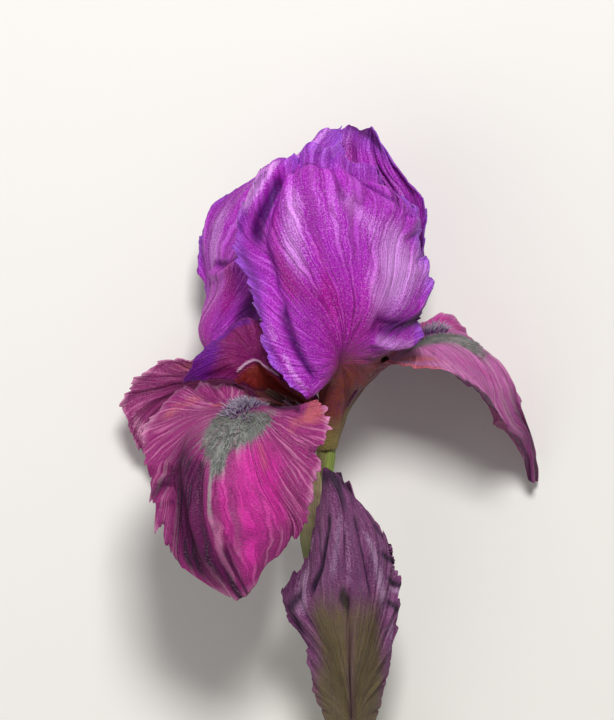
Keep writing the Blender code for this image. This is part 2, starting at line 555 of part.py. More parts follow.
def add_spathe(name, spec, finish):
    """A papery sheath leaf wrapped part of the way round a tube and ovary."""
    route = natural_spline(spec["route"], np.linspace(0, 2, 9))
    tangent = unit(np.gradient(route, axis=0))
    right = unit(np.cross(tangent, (0.0, 0.0, 1.0)))
    front = np.cross(right, tangent)
    stations = np.linspace(0, 3, 9)
    radius = natural_spline(np.array(spec["radii"])[:, None], stations)
    share = natural_spline(np.array(spec["taper"])[:, None], stations)
    angles = math.radians(spec["turn"]) + math.radians(spec["sweep"]) * share * np.linspace(-0.5, 0.5, 9)
    out = right[:, None] * np.cos(angles)[..., None] + front[:, None] * np.sin(angles)[..., None]
    points = route[:, None] + out * radius[..., None]
    return add_sheet(name, points, SPATHE_THICKNESS, finish)


def main():
    for thing in list(bpy.data.objects):
        bpy.data.objects.remove(thing)
    collection = bpy.data.collections.new("iris flower")
    bpy.context.scene.collection.children.link(collection)

    violet = material("violet petal", VIOLET, 0.5)
    magenta = material("magenta petal", MAGENTA, 0.5)
    wine = material("wine style arm", WINE, 0.5)
    plum = material("plum bud petal", PLUM, 0.6)
    beard = material("beard hair", BEARD_GREY, 0.8)
    green = material("green stalk", GREEN, 0.5)
    paper = material("papery spathe", PAPER, 0.8)
    cream = material("cream anther", CREAM, 0.8)

    petals = {"front_standard": (FRONT_STANDARD, violet), "left_standard": (LEFT_STANDARD, violet),
              "back_standard": (BACK_STANDARD, violet), "front_fall": (FRONT_FALL, magenta),
              "right_fall": (RIGHT_FALL, magenta), "back_fall": (BACK_FALL, magenta)}
    for petal, finish in petals.values():
        petal["rows"].insert(0, claw_row(petal["azimuth"]))
    FRONT_ARM["rows"] = arm_rows(FRONT_ARM_FOOT, FRONT_ARM["azimuth"]) + FRONT_ARM["rows"]
    for arm in (RIGHT_ARM, BACK_ARM):
        arm["rows"] = arm_rows(arm["profile"], arm["azimuth"])
    arms = {"front": FRONT_ARM, "right": RIGHT_ARM, "back": BACK_ARM}
    falls = {"front": FRONT_FALL, "right": RIGHT_FALL, "back": BACK_FALL}
    for name, (petal, finish) in petals.items():
        add_petal(name, petal, finish)
    for place, arm in arms.items():
        add_petal(place + "_style_arm", arm, wine)
        add_beard(place + "_beard", falls[place], BEARD_SPANS[place], beard)
        add_stamen(place + "_stamen", arm, falls[place], cream)
    add_perianth_tube(green)
    add_stalk(green)
    add_petal("bud_front_fall", BUD_FRONT_FALL, plum)
    add_petal("bud_left_fall", bud_side_fall(-1), plum)
    add_petal("bud_right_fall", bud_side_fall(1), plum)
    add_bud_core(plum)
    add_bud_tube(green)
    for name, spec in SPATHES.items():
        add_spathe(name, spec, paper)


main()
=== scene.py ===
"""Looks of a bearded iris, an open bloom and an opening bud on a cut stalk, around its frame.

Lengths in the tables are millimetres in the bloom's own frame: x to the right, y towards the
top of the bloom, z up from the table. Each petal is a cage of rows from its foot to its tip,
with u along it from 0 to 1 and v across it from -1 to 1.
"""

import functools
import json
import math
from contextlib import contextmanager

import bmesh
import bpy
import numpy as np
from bpy.props import FloatProperty, FloatVectorProperty, IntProperty, PointerProperty
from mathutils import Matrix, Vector

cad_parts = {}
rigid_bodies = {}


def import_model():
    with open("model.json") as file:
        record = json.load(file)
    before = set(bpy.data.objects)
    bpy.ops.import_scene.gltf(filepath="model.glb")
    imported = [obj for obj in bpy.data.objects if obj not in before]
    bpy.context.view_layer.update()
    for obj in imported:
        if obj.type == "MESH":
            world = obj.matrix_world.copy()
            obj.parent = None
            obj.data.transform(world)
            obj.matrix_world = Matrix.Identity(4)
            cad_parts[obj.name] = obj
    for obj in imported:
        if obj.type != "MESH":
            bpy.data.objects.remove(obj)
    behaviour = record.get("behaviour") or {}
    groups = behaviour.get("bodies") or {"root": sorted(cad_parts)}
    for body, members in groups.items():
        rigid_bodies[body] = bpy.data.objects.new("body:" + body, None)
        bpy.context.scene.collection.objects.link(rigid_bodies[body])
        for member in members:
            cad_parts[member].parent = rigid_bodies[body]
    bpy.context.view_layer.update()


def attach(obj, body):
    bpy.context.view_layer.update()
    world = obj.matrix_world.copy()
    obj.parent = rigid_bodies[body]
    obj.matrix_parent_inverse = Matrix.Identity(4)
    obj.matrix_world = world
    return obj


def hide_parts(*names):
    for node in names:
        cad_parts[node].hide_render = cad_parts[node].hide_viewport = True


bl_info = {
    "name": "Bearded iris",
    "version": (1, 0, 0),
    "blender": (4, 5, 0),
    "location": "View3D > Sidebar > Iris",
    "description": "Petals, beards, stalk and bud of a lying iris, and the stage around it",
    "category": "Object",
}

for leftover in list(bpy.data.objects):
    bpy.data.objects.remove(leftover)
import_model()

MM = 0.001
TABLE_Z = -42.0
TABLE_GAP = 0.02
WORLD_ORIGIN = (2.83, -48.96, TABLE_Z)

# The camera looks straight down at the middle of the photographed part; the lamps point at LIT_SPOT.
PHOTO_CENTRE = (-6.46, 25.84)
PHOTO_HEIGHT = 244.8
CAMERA_DISTANCE = 1500.0
SENSOR = 36.0
LIT_SPOT = (0.0, 30.0, 10.0)
LAMP_DISTANCE = 1.3

# The tube's rim, where all petals start: its height along the bloom's axis, which is pitched up from
# the table by so many degrees. Claws sheathe it. Pieces that sit on each other stay SEAT_GAP apart.
AXIS_PITCH = 11.0
RIM_UP = -3.3
RIM_RADIUS = 3.1
SEAT_GAP = 0.35
CLAW_RADIUS = 3.45
CLAW_HALF_WIDTH = 2.0
CLAW_DROP = 0.9
CLAW_BULGE = 0.2
CLAW_BOW = 0.05

# Fine relief: cells of the noise table, lobes and teeth of a torn margin (spacing and size; depths are
# shares of the way in), shallow dents all over, and the groove over the midrib. Ribs of the tubes are
# their number and height. OLIVE_REACH is how far a tube's olive top goes down.
NOISE_CELLS = 64
LOBE_SPACING = 6.0
LOBE_DEPTH = 0.032
TEETH = [(2.4, 0.6), (1.2, 0.6), (0.7, 0.3)]
TEETH_DEPTH = 0.034
CORNER_WIDTH = 0.16
DENT_DEPTH = 0.3
MIDRIB_DEPTH = 0.6
MIDRIB_HALF_WIDTH = 1.5
TUBE_RIBS = (6, 0.18)
STALK_RIBS = (9, 0.06)
BRANCH_RIBS = (7, 0.05)
OLIVE_REACH = 14.0

# What a petal's table holds. azimuth: its place round the bloom, in degrees. focus and fan: u of the
# points where the solid's waves and the veins fan out. waves (count, height, phase) and folds: the
# solid's own relief. creases: finer folds. corner, notches, jagged, tear: how its outline is rounded,
# cut, toothed and torn. frill, calm_tip: how wavy its margin is, and how much calmer its tip.
# deep, bright, heart, haft: strokes of those tones. Deep strokes are painted shade in folds,
# creases, cast shadows and parts turned from the light, and on the bud they also darken its spot;
# on the style arms they are the violet sides of the crest. Bright strokes are painted highlights.
# heart_reach, claw_share, claw_tilt, claw_fade: how far up the heart and the claw reach, with the
# slant and softness of the claw's end. pile: hairs of the velvet patch. cuts: its rows and columns
# of faces, if they aren't those of the sizes.
# A petal row is left, middle and right point, then how far each half bows out of the chord and,
# where it is given, how round the row arches over its middle.
# A stroke is u, v at its start and end, its half width in u, and its depth or strength.
FRONT_STANDARD = dict(
    azimuth=66, focus=0.2, fan=0.3, heart_reach=0.55, claw_share=0.4, claw_tilt=0.08, claw_fade=0.14,
    waves=[(9, 1.3, 0.4), (17, 0.8, 1.7)], folds=[(0.62, -0.8, 1, -0.4, 0.045, -5)],
    creases=[(0.9, -0.34, 0.97, -0.48, 0.022, -2.6), (0.98, 0.36, 0.8, 0.28, 0.016, -1.8),
             (0.88, 0.58, 0.84, 0.74, 0.016, -1.8), (0.975, -0.25, 0.98, 0.32, 0.018, 3.6),
             (0.935, -0.22, 0.93, 0.3, 0.014, -1.6), (0.96, 0.44, 0.95, 0.95, 0.018, 3.2),
             (0.92, 0.5, 0.905, 0.95, 0.014, -1.6), (0.46, 0.38, 0.51, 1, 0.036, -3.2),
             (0.415, 0.4, 0.43, 1, 0.018, 1.8), (0.6, 0.45, 0.62, 1, 0.05, 1.8),
             (0.7, 0.8, 0.72, 1, 0.014, -1.2), (0.78, 0.84, 0.8, 1, 0.012, -1.2),
             (0.64, 0.86, 0.65, 1, 0.012, -1), (0.56, 0.84, 0.57, 1, 0.012, -1),
             (0.53, -0.74, 0.34, -0.56, 0.026, -2.4), (0.46, -0.9, 0.33, -0.8, 0.022, 1.4),
             (0.87, -0.9, 0.76, -0.96, 0.02, 3), (0.84, -0.68, 0.72, -0.78, 0.02, -2)],
    # Painted highlights where the folds and the rolled margins of the standard catch the light.
    bright=[(0.78, -0.22, 0.66, -0.36, 0.07, 0.75), (0.69, 0.66, 0.57, 0.46, 0.07, 0.75),
            (0.63, 0.92, 0.6, 0.6, 0.05, 0.6), (0.7, 0.14, 0.8, 0.1, 0.05, 0.25),
            (0.9, -0.78, 0.82, -0.92, 0.035, 1.5), (0.425, 0.42, 0.43, 0.9, 0.018, 0.8),
            (0.8, 0.3, 0.74, 0.45, 0.04, 0.45), (0.47, 0.28, 0.55, 0.36, 0.03, 0.5),
            (0.41, -0.82, 0.33, -0.84, 0.02, 0.6), (0.49, -0.88, 0.47, -0.86, 0.02, 0.45)],
    # Painted shade in the valleys, the pocket and the creases of the standard.
    deep=[(0.455, 0.38, 0.51, 0.98, 0.034, 1.1), (0.85, -0.62, 0.72, -0.78, 0.03, 1.2),
          (0.905, -0.36, 0.95, -0.46, 0.02, 1), (0.52, -0.72, 0.36, -0.6, 0.032, 0.9),
          (0.68, -0.94, 0.53, -0.96, 0.022, 0.6), (0.9, 0.3, 0.81, 0.3, 0.014, 0.6),
          (0.88, 0.6, 0.83, 0.78, 0.022, 0.6), (0.45, 0.32, 0.41, 0.22, 0.018, 0.6),
          (0.93, -0.2, 0.925, 0.28, 0.012, 0.7), (0.915, 0.5, 0.9, 0.95, 0.012, 0.7)],
    heart=[(0.36, -0.05, 0.52, -0.12, 0.05, 0.65), (0.52, -0.15, 0.66, -0.08, 0.04, 0.55),
           (0.5, -0.2, 0.6, -0.58, 0.055, 0.65), (0.6, -0.58, 0.76, -0.5, 0.04, 0.5)],
    rows=[
        ((-2.2, 10.5, 12.5), (2.8, 10, 13.5), (7, 11, 10.5), 0.6, 0.8),
        ((-4, 20, 21.5), (3.5, 17, 19.5), (10.5, 16.5, 13), 1, 1.2),
        ((-8.5, 15, 36.5), (5, 24.5, 27), (15, 22, 15), 2, 1.5),
        ((-17.5, 23.5, 39), (6.5, 34, 34), (25.5, 30, 19), 1.5, 3),
        ((-22, 37, 37), (6, 45, 41), (34.5, 37.5, 21), 2, 5),
        ((-24.5, 50, 33), (2, 56.5, 46.5), (34.4, 52, 21), 3, 5),
        ((-30.5, 64, 35), (-2, 67.5, 48.5), (32.5, 65.5, 21), 0, 4.5),
        ((-28, 78, 37), (-5, 79, 47), (31.5, 74.5, 22), -1, 4),
        ((-21.5, 90.5, 37), (-6, 88.5, 44), (21.5, 82.5, 27), -0.5, 3.5),
        ((-15, 92.5, 33), (-5, 95.3, 37.5), (9, 90.5, 31), 0.5, 1),
    ])

LEFT_STANDARD = dict(
    azimuth=183, focus=0.2, fan=0.22, corner=0.04, calm_tip=0.5, heart_reach=0.5,
    waves=[(10, 1.4, 1), (19, 0.8, 0.3)], notches=[(0.5, -1, 0.51, -1, 0.031, 0.1)],
    creases=[(0.502, -0.3, 0.547, 0.7, 0.018, 2), (0.533, -0.3, 0.578, 0.6, 0.013, -1.6)],
    # Painted highlights on the far lobe and along the margin.
    bright=[(0.64, -0.62, 0.55, -0.4, 0.055, 0.7), (0.82, -0.6, 1, -0.5, 0.06, 0.6),
            (0.445, 0, 0.356, 0.05, 0.017, 0.8)],
    # Painted shadow cast by the front standard's margin, and painted shade in the crease.
    deep=[(0.5, 0.98, 0.39, 0.75, 0.052, 1.2), (0.533, -0.35, 0.578, 0.6, 0.015, 0.9)],
    heart=[(0.507, 0.3, 0.445, 0.45, 0.06, 1.2)],
    rows=[
        ((-15, 9, -4), (-15, 9, 0.5), (-13, 10.5, 5), 0.5, 0.5),
        ((-31, 22, -9), (-31.5, 21, 2), (-25, 24, 9), 1.5, 1.5),
        ((-38, 37, -17), (-42.5, 35, 2), (-24, 34, 13), 2, 3),
        ((-40, 52.5, -20), (-37.5, 47.5, 5), (-19, 46, 18), 1, 4),
        ((-43.5, 66, -17), (-33, 59, 9), (-16, 60, 25), 1, 4),
        ((-37.5, 79.5, -10), (-25, 71, 13), (-9, 72, 28), 2, 4),
        ((-24.5, 88.5, -2), (-16, 82, 15), (-3, 80, 26), 2, 3),
        ((-10, 95, 4), (-5.5, 91.5, 15), (1.5, 87, 23), 1.5, 2),
        ((-0.5, 106.5, 10), (4, 103, 13), (7.5, 95, 20), 0.5, 0.5),
    ])

BACK_STANDARD = dict(
    azimuth=303, focus=0.2, fan=0.24, calm_tip=0.75, heart_reach=0.5,
    waves=[(10, 1.2, 2), (19, 0.8, 0.9)], corner=0.05,
    notches=[(0.97, -1, 0.975, -1, 0.02, 0.08), (0.91, -1, 0.92, -1, 0.02, -0.02)],
    creases=[(0.92, -0.05, 0.8, 0, 0.02, 1.6), (0.9, -0.35, 0.84, -0.3, 0.014, -1.2)],
    # Painted highlights, and painted shade under the curled top edge.
    bright=[(0.94, 0.5, 0.82, 0.45, 0.06, 0.35), (0.84, -0.2, 0.78, -0.2, 0.04, 0.35)],
    deep=[(1, 0.6, 0.98, -0.4, 0.03, 1.2)], heart=[(0.9, 0.4, 0.78, 0.4, 0.07, 0.5)],
    rows=[
        ((8.5, 11.5, -7.5), (6, 10.5, -9.5), (2.5, 11.5, -10.5), 0.5, 0.5),
        ((13.5, 26, -15.5), (11, 23, -20.5), (4, 24.5, -23.5), 1.5, 1.5),
        ((24.5, 41, -8), (20, 37, -25), (2, 39, -31), 3, 3.5),
        ((33, 52, 0), (25, 51, -24), (-5, 54, -31), 6, 6),
        ((34, 66, 8), (25, 66, -1), (-11, 69, -19), 1, 5),
        ((34, 78.5, 12), (24, 80, 9), (-12, 84, -7), 0, 1.5),
        ((29, 86, 13), (17, 91.5, 9), (-6, 96.5, -1), 0, 0.5),
        ((20.8, 93.5, 14), (15, 103.5, 9), (4, 109, 4), 0, 0, 0.3),
    ])

FRONT_FALL = dict(
    azimuth=124, focus=0.3, fan=0.36, pile=1500, waves=[(8, 1.6, 0), (15, 1, 1.1)],
    folds=[(0.55, -0.35, 1, -0.25, 0.05, -3)], corner=0.13, calm_tip=0.8,
    creases=[(0.63, -0.95, 0.61, -0.55, 0.012, 1.6), (0.66, -1, 0.66, -0.6, 0.012, 1.4),
             (0.6, -0.95, 0.585, -0.6, 0.01, -1.2), (0.7, -1, 0.69, -0.65, 0.012, -1.2),
             (0.8, 0.1, 0.92, 0.3, 0.012, -0.7), (0.78, -0.05, 0.92, 0.08, 0.012, -0.7),
             (0.36, 0.62, 0.4, 1, 0.02, 1.6), (0.43, 0.5, 0.5, 1, 0.03, -1.4)],
    # Painted light: the hot magenta of the half of the blade that turns to the light.
    bright=[(0.58, 0.34, 0.88, 0.4, 0.09, 0.92), (0.6, 0.55, 0.75, 0.65, 0.05, 0.7),
            (0.66, 0.1, 0.8, 0.14, 0.03, 0.6)],
    # Painted shade: the dark band and the lower left of the blade, turned from the light, and the shade in
    # its folds and under its right lobe.
    deep=[(0.62, -0.18, 0.8, -0.24, 0.036, 1.4), (0.8, -0.24, 0.97, -0.08, 0.05, 1.1),
          (0.86, 0.04, 0.98, 0.15, 0.028, 0.9), (0.64, -0.38, 0.84, -0.55, 0.11, 1.25),
          (0.34, 0.25, 0.34, 0.6, 0.03, 1.1), (0.62, -0.6, 0.68, -0.95, 0.02, 0.7),
          (0.4, -1, 0.26, -0.95, 0.04, 0.6)],
    heart=[(0.4, -0.2, 0.5, -0.15, 0.05, 1.1), (0.5, -0.1, 0.58, 0.02, 0.045, 1.1),
           (0.45, 0.05, 0.43, 0.26, 0.05, 1.1), (0.5, 0.1, 0.48, 0.2, 0.045, 1),
           (0.58, 0, 0.74, -0.05, 0.012, 0.55)],
    notches=[(0.56, 1, 0.57, 0.9, 0.018, 0.18), (1, -1, 1, -0.6, 0.04, 0.03),
             (0.62, -1, 0.62, -0.9, 0.016, 0.05), (0.73, -1, 0.73, -0.9, 0.016, 0.06),
             (0.8, -1, 0.84, -0.9, 0.02, 0.06)],
    haft=[(0.26, -0.45, 0.36, -0.5, 0.035, 1.1), (0.28, 0.95, 0.38, 0.85, 0.06, 1.1),
          (0.4, 0.75, 0.44, 0.6, 0.035, 0.6), (0.52, 0.35, 0.6, 0.48, 0.016, 0.5),
          (0.4, -0.75, 0.46, -0.85, 0.03, 0.45)], jagged=[(0.26, 1, 0.4, 1, 0.05, 0.4)],
    rows=[
        ((-10, 5.5, 7.5), (-7, 3.5, 11), (-2.5, 5, 14), 0.4, 0.4),
        ((-21.5, 13.5, 15.5), (-13.5, 7.5, 21), (-4, 10.5, 26.5), 1.2, 0.8),
        ((-39, 18, 18.5), (-21.5, 10, 33), (-1.5, 11, 40), 3, 0.5),
        ((-55, 11.5, 28.5), (-29.5, 6, 45), (1, 3, 50), 1, 1),
        ((-61.5, -3.5, 40), (-35.5, -5, 52.5), (-0.5, -5, 54), 1, 2),
        ((-58.5, -17, 45), (-37.5, -16.5, 55), (-5, -16, 56), 1, 2),
        ((-55.5, -31, 45), (-36, -28.5, 53.5), (-5.5, -28, 54), 1, 1.5),
        ((-51, -43, 42), (-32.5, -41.5, 48.5), (-14, -38.5, 49), 0.5, 1),
        ((-39.5, -51, 39.5), (-27, -53, 42), (-20.5, -46.5, 43), 0, 0.5),
    ])

RIGHT_FALL = dict(
    azimuth=3, focus=0.3, fan=0.33, tear=0.55, frill=0.5, pile=500,
    waves=[(8, 1.3, 0.6), (15, 0.9, 2.1)],
    creases=[(0.7, -0.9, 0.84, -0.5, 0.02, 1.2), (0.62, 0.1, 0.95, 0.1, 0.02, -0.8)],
    # Painted highlights; painted shade on the drooping tip and along the folded margin.
    bright=[(0.48, -0.4, 0.62, -0.28, 0.03, 0.4), (0.4, 0.85, 0.52, 0.8, 0.06, 0.9)],
    deep=[(0.88, 0, 1, 0.4, 0.16, 1.1), (0.76, -0.95, 1, -0.5, 0.1, 1.3),
          (0.48, -1, 0.8, -0.86, 0.045, 1.5)], corner=0.09, calm_tip=0.7,
    heart=[(0.34, 0, 0.52, -0.06, 0.065, 1), (0.38, 0.16, 0.5, 0.12, 0.05, 0.8)],
    haft=[(0.1, -1, 0.3, -1, 0.05, 1.2), (0.27, -0.4, 0.34, -0.6, 0.05, 0.9),
          (0.3, -0.95, 0.38, -0.95, 0.03, 0.7), (0.26, 0.6, 0.34, 0.8, 0.05, 0.7)],
    rows=[
        ((5.5, 11, 4.5), (7.5, 8.5, 0), (7, 9, -3.5), 0.4, 0.4),
        ((15, 24, 9), (17, 20.5, 0), (15.5, 22, -8), 0.8, 0.8),
        ((33, 23.8, 19), (31, 30.5, -2), (30, 36, -21), 0.6, 0.3),
        ((43.5, 21.5, 22), (43, 33, -8), (42, 40.5, -33), 2, 1),
        ((53, 15, 17), (53.5, 29, -13), (51.5, 33, -39.5), 3, 0.5),
        ((57, 5, 8), (62, 20, -18), (62, 22, -41.5), 3, 0.5),
        ((60, 2.5, -2), (66, 10, -23.5), (68, 10, -41.6), 2, 1),
        ((67, -5, -18), (70.5, -1, -30), (73.5, -2, -41), 1, 1),
        ((69.5, -14, -28), (73, -18.5, -34.5), (75, -15, -40), 0.5, 0.5, 0.2),
    ])

BACK_FALL = dict(
    azimuth=236, focus=0.3, fan=0.36, corner=0.1, pile=200, waves=[(8, 1.4, 0.5), (15, 0.9, 1.4)],
    # Painted highlight and painted shade.
    bright=[(0.66, 0.8, 0.75, 0.7, 0.05, 0.8)], deep=[(0.46, 0.55, 0.62, 0.55, 0.07, 0.8)],
    heart=[(0.38, 0, 0.46, 0, 0.03, 0.8)],
    haft=[(0.26, -0.6, 0.36, -0.8, 0.05, 0.8), (0.26, 0.6, 0.36, 0.8, 0.05, 0.8)],
    rows=[
        ((-6, 8, -12.5), (-8.5, 6, -10.5), (-12, 8, -7.5), 0.4, 0.4),
        ((-11, 18, -25), (-18, 14, -20), (-26, 18, -13), 0.8, 0.8),
        ((-15, 17, -39), (-31, 17.5, -29), (-49, 24, -15), 0, 0),
        ((-22, 8, -42.2), (-43, 13, -36), (-66, 17.5, -18), 1, 1),
        ((-26, -5, -42.8), (-50, 3, -39), (-69.5, 6.5, -22), 2, 2),
        ((-28, -18, -42.8), (-51, -9, -41.5), (-64.5, -5, -28), 1, 1),
        ((-31, -27.5, -42.4), (-47.5, -21, -41.8), (-57.5, -17, -35), 0.5, 0.5),
        ((-36.5, -34, -41.6), (-45.5, -31.5, -41.2), (-53, -25.5, -38), 0, 0),
    ])

# Style arms: the throat runs up to the lip, the crest spreads past it.
FRONT_ARM = dict(
    azimuth=129, focus=0.3, fan=0.58, cuts=(150, 90), waves=[(9, 0.7, 0.5), (16, 0.4, 1.4)],
    claw_share=0.66, creases=[(0.66, -0.75, 0.66, 0.9, 0.014, 0.5)],
    # Painted highlight where the crest turns to the light.
    bright=[(0.72, -0.6, 0.8, -0.4, 0.05, 0.7)],
    deep=[(0.9, -0.9, 0.97, -0.5, 0.1, 1.2), (0.98, -0.4, 0.98, 0.4, 0.03, 0.8),
          (0.4, -0.9, 0.54, -0.9, 0.03, 0.9), (0.46, 0.9, 0.56, 0.9, 0.03, 0.9)],
    heart=[(0.664, -0.66, 0.662, 0.98, 0.009, 1.35)],
    rows=[
        ((-26, 17, 19.5), (-19, 21, 22.5), (-12.5, 16.5, 24.5), 1.2, 1.2, 0.28),
        ((-32, 19.5, 23), (-24, 26, 26.5), (-15.5, 20.5, 28.5), 1.6, 1.6, 0.28),
        ((-41, 18.5, 22), (-27.5, 32.5, 26.5), (-15, 29, 27.5), 2, 2, 0.15),
        ((-49.5, 17.5, 20), (-32, 37, 24), (-16, 40, 24.5), 5, 5),
    ])
# Hidden arms and the front arm's foot: distance out, height up, half width, drop, bow.
FRONT_ARM_FOOT = [(2.3, 3.3, 1.2, 0, 0.1), (6, 9.5, 2.2, 0.8, 0.6), (12, 15.5, 3, 1.5, 1)]
# The two hidden arms have the same marks.
HIDDEN_ARM = dict(
    focus=0.3, fan=0.58, cuts=(150, 90), waves=[(9, 0.6, 0.5), (16, 0.4, 1.4)],
    deep=[(0.95, -0.8, 0.95, 0.8, 0.05, 0.8)], heart=[(0.8, -0.8, 0.8, 0.8, 0.01, 1)],
    haft=[(0.3, 0, 0.7, 0, 0.12, 1)])
RIGHT_ARM = dict(
    HIDDEN_ARM, azimuth=3,
    profile=[(2.3, 3.3, 1.2, 0, 0.1), (5.5, 10, 2.2, 0.8, 0.6), (10, 17.5, 3.2, 1.5, 1),
             (14.5, 25.5, 4.2, 2, 1.5), (18.5, 32, 5, 2.5, 1.8), (20.5, 38, 6.5, 2, 1.5),
             (23.5, 44, 8, -1, 2)])
BACK_ARM = dict(
    HIDDEN_ARM, azimuth=236,
    profile=[(2.3, 3.3, 1.2, 0, 0.1), (6, 9.5, 2.4, 0.8, 0.6), (13.5, 14.5, 4, 1.5, 1.2),
             (21.5, 17.5, 5.5, 3, 1.8), (27, 20, 6.5, 3, 2), (29, 26, 8.5, 2, 1.5),
             (31, 32, 11, -1, 3)])

# Beards: share of the fall's length from and to, v there, and how many hairs. The patch's short
# hairs are sown in the given box of u and v.
BEARDS = {"front": (0.28, 0.45, -0.24, -0.02, 340), "right": (0.33, 0.44, 0.3, 0.42, 90),
          "back": (0.28, 0.44, 0, 0, 300)}
BEARD_HALF_WIDTH = 0.17
PATCH_U = (0.36, 0.62)
PATCH_V = (-0.4, 0.55)

BUD_FOOT = (9.5, -118, -11.5)
BUD_TIP = (4, -12, 20.5)
BUD_FRONT_FALL = dict(
    focus=0.3, fan=0.18, cuts=(150, 110), corner=0.13, calm_tip=1, waves=[(8, 1, 0.5), (15, 0.6, 1.4)],
    notches=[(0.58, -1, 0.585, -1, 0.022, -0.07), (0.47, -1, 0.48, -1, 0.03, 0.05)],
    creases=[(0.82, -0.46, 0.6, -0.62, 0.018, -1.6), (0.8, 0.3, 0.62, 0.42, 0.016, -1.2),
             (0.94, -0.6, 0.9, 0.6, 0.014, -1.4), (0.9, -0.1, 0.66, -0.06, 0.012, -0.8),
             (0.62, 0, 0.2, 0, 0.018, -0.9), (0.72, 0.85, 0.6, 0.6, 0.016, 1.2),
             (0.66, 1, 0.52, 0.7, 0.016, 1.2), (0.6, -1, 0.54, -0.72, 0.016, 1.2)],
    # Painted highlights on the ridges of the bud's folds.
    bright=[(0.78, 0.52, 0.6, 0.62, 0.035, 0.9), (0.66, -0.85, 0.58, -0.72, 0.035, 0.9),
            (0.7, -0.3, 0.84, -0.2, 0.035, 0.7), (0.52, 0.85, 0.42, 0.85, 0.03, 0.7),
            (0.7, 0.82, 0.68, 0.98, 0.012, 1), (0.62, 0.82, 0.6, 0.98, 0.012, 1),
            (0.8, -0.85, 0.72, -0.85, 0.02, 0.6), (0.82, 0, 0.66, 0.02, 0.03, 0.5)],
    # Painted shade in the creases, along the midline and at the tip; one stroke darkens the spot above the
    # foot.
    deep=[(0.84, -0.44, 0.64, -0.6, 0.026, 1.3), (0.605, -0.12, 0.585, -0.04, 0.034, 1),
          (0.84, 0.26, 0.62, 0.4, 0.018, 1), (1, 0, 0.93, 0, 0.07, 1.2),
          (0.98, -0.7, 0.96, 0.7, 0.03, 0.8), (0.6, -0.8, 0.5, -0.88, 0.03, 0.9),
          (0.48, 0.02, 0.1, 0, 0.06, 0.62), (0.74, 0.7, 0.7, 0.95, 0.014, 1),
          (0.66, 0.72, 0.62, 0.98, 0.014, 1), (0.58, 0.74, 0.54, 0.98, 0.014, 0.9),
          (0.86, 0.75, 0.8, 0.8, 0.02, 0.8)],
    haft=[(0.55, -0.45, 0.54, 0.45, 0.09, 0.5), (0.45, -0.4, 0.43, 0.4, 0.11, 0.7),
          (0.3, -0.6, 0.3, 0.6, 0.13, 0.8), (0.08, -0.9, 0.08, 0.9, 0.2, 1)],
    heart=[(0.61, -0.1, 0.56, -0.06, 0.034, 0.95)],
    rows=[
        ((6.2, -119, -8.8), (9.5, -119.4, -7.3), (12.8, -119, -8.8), 0.3, 0.3),
        ((1.5, -104, -4.5), (8.8, -105, 1.5), (16, -104, -4.5), 1.5, 1.5),
        ((-1.5, -92, -2), (8.5, -93, 6), (18, -92, -2), 2, 2),
        ((-4.5, -81.5, 1), (8, -82, 11), (21.5, -81, 1), 2.5, 2.5),
        ((-7, -70, 4), (8, -71, 16), (24, -70, 4), 3, 3),
        ((-14, -57, 9), (8, -59, 20.5), (25, -57, 9), 3, 3),
        ((-10.5, -46, 11), (7.5, -47, 24), (24.5, -46, 11), 3.5, 3.5),
        ((-7, -35, 14), (7, -35, 27), (21.5, -35, 14), 3.5, 3.5),
        ((-4, -24, 18), (5.5, -22, 28.5), (14, -25, 18), 2, 2),
        ((-2.5, -15, 21.5), (1.5, -10.8, 25.5), (7.5, -17.5, 22.5), 1.5, 1.5, 0.35),
    ])
BUD_SIDE_FALL = dict(
    focus=0.3, fan=0.3, cuts=(90, 60), corner=0.12, calm_tip=1, waves=[(7, 0.7, 0.3), (13, 0.4, 1.1)],
    # Painted highlight; painted shade at the tip and in a crease.
    haft=[(0, 0, 0.35, 0, 0.2, 0.8)], bright=[(0.6, 0.3, 0.7, 0.4, 0.08, 0.6)],
    deep=[(1, 0, 0.9, 0, 0.06, 0.8), (0.6, -0.4, 0.4, -0.4, 0.03, 0.6)])
# Side falls and core of the bud: share of the bud's length, radius there; sweep in degrees.
BUD_SIDE_PROFILE = [(0, 4.6), (0.13, 7.6), (0.27, 9.6), (0.42, 11.2), (0.56, 11.2), (0.7, 9.8),
                    (0.84, 7.4), (0.96, 4.2)]
BUD_SIDE_SWEEP = (4, 82)
BUD_CORE_PROFILE = [(0.02, 2.2), (0.15, 4.2), (0.35, 6.6), (0.55, 7.2), (0.75, 5.8), (0.9, 3.2),
                    (1, 0.8)]
BUD_CORE_TURNS = 0.45

# Tubes: each point is x, y, z and the radius there. The tops of the two flowers' tubes: height along
# the bloom's axis, or how far below the bud's foot, and the radius there.
PERIANTH_TUBE = [(-2.6, -42, -9.6, 3.2), (-2.8, -37, -8, 3.9), (-2.7, -29, -6.2, 4.6),
                 (-1.8, -21, -4.4, 3.8), (-0.6, -13, -2.6, 2.7)]
TUBE_TOP = [(RIM_UP - 4, 3), (RIM_UP - 1.2, 3.05), (RIM_UP, RIM_RADIUS), (RIM_UP + 0.02, 1.75),
            (4.6, 1.5)]
BUD_TUBE_TOP = [(SEAT_GAP + 3.4, 3.9), (SEAT_GAP + 0.4, 5.4)]
STALK = [(-2.5, -42.7, -9.9, 3.5), (-1, -56, -15.5, 3.8), (3, -76, -22.5, 4), (7, -102, -29.5, 4.2),
         (10, -132, -34.3, 4.4), (12, -166, -37.15, 4.5), (13.5, -206, -37.64, 4.55)]
BRANCH = [(12.3, -168, -36.5, 3), (11.9, -160, -31.5, 3), (11.2, -152, -26.6, 3)]
BUD_TUBE = [(11.1, -151.4, -26.2, 3), (10.6, -143, -22.2, 4), (10.2, -134, -18.4, 4.7),
            (9.8, -126, -15, 3.9)]

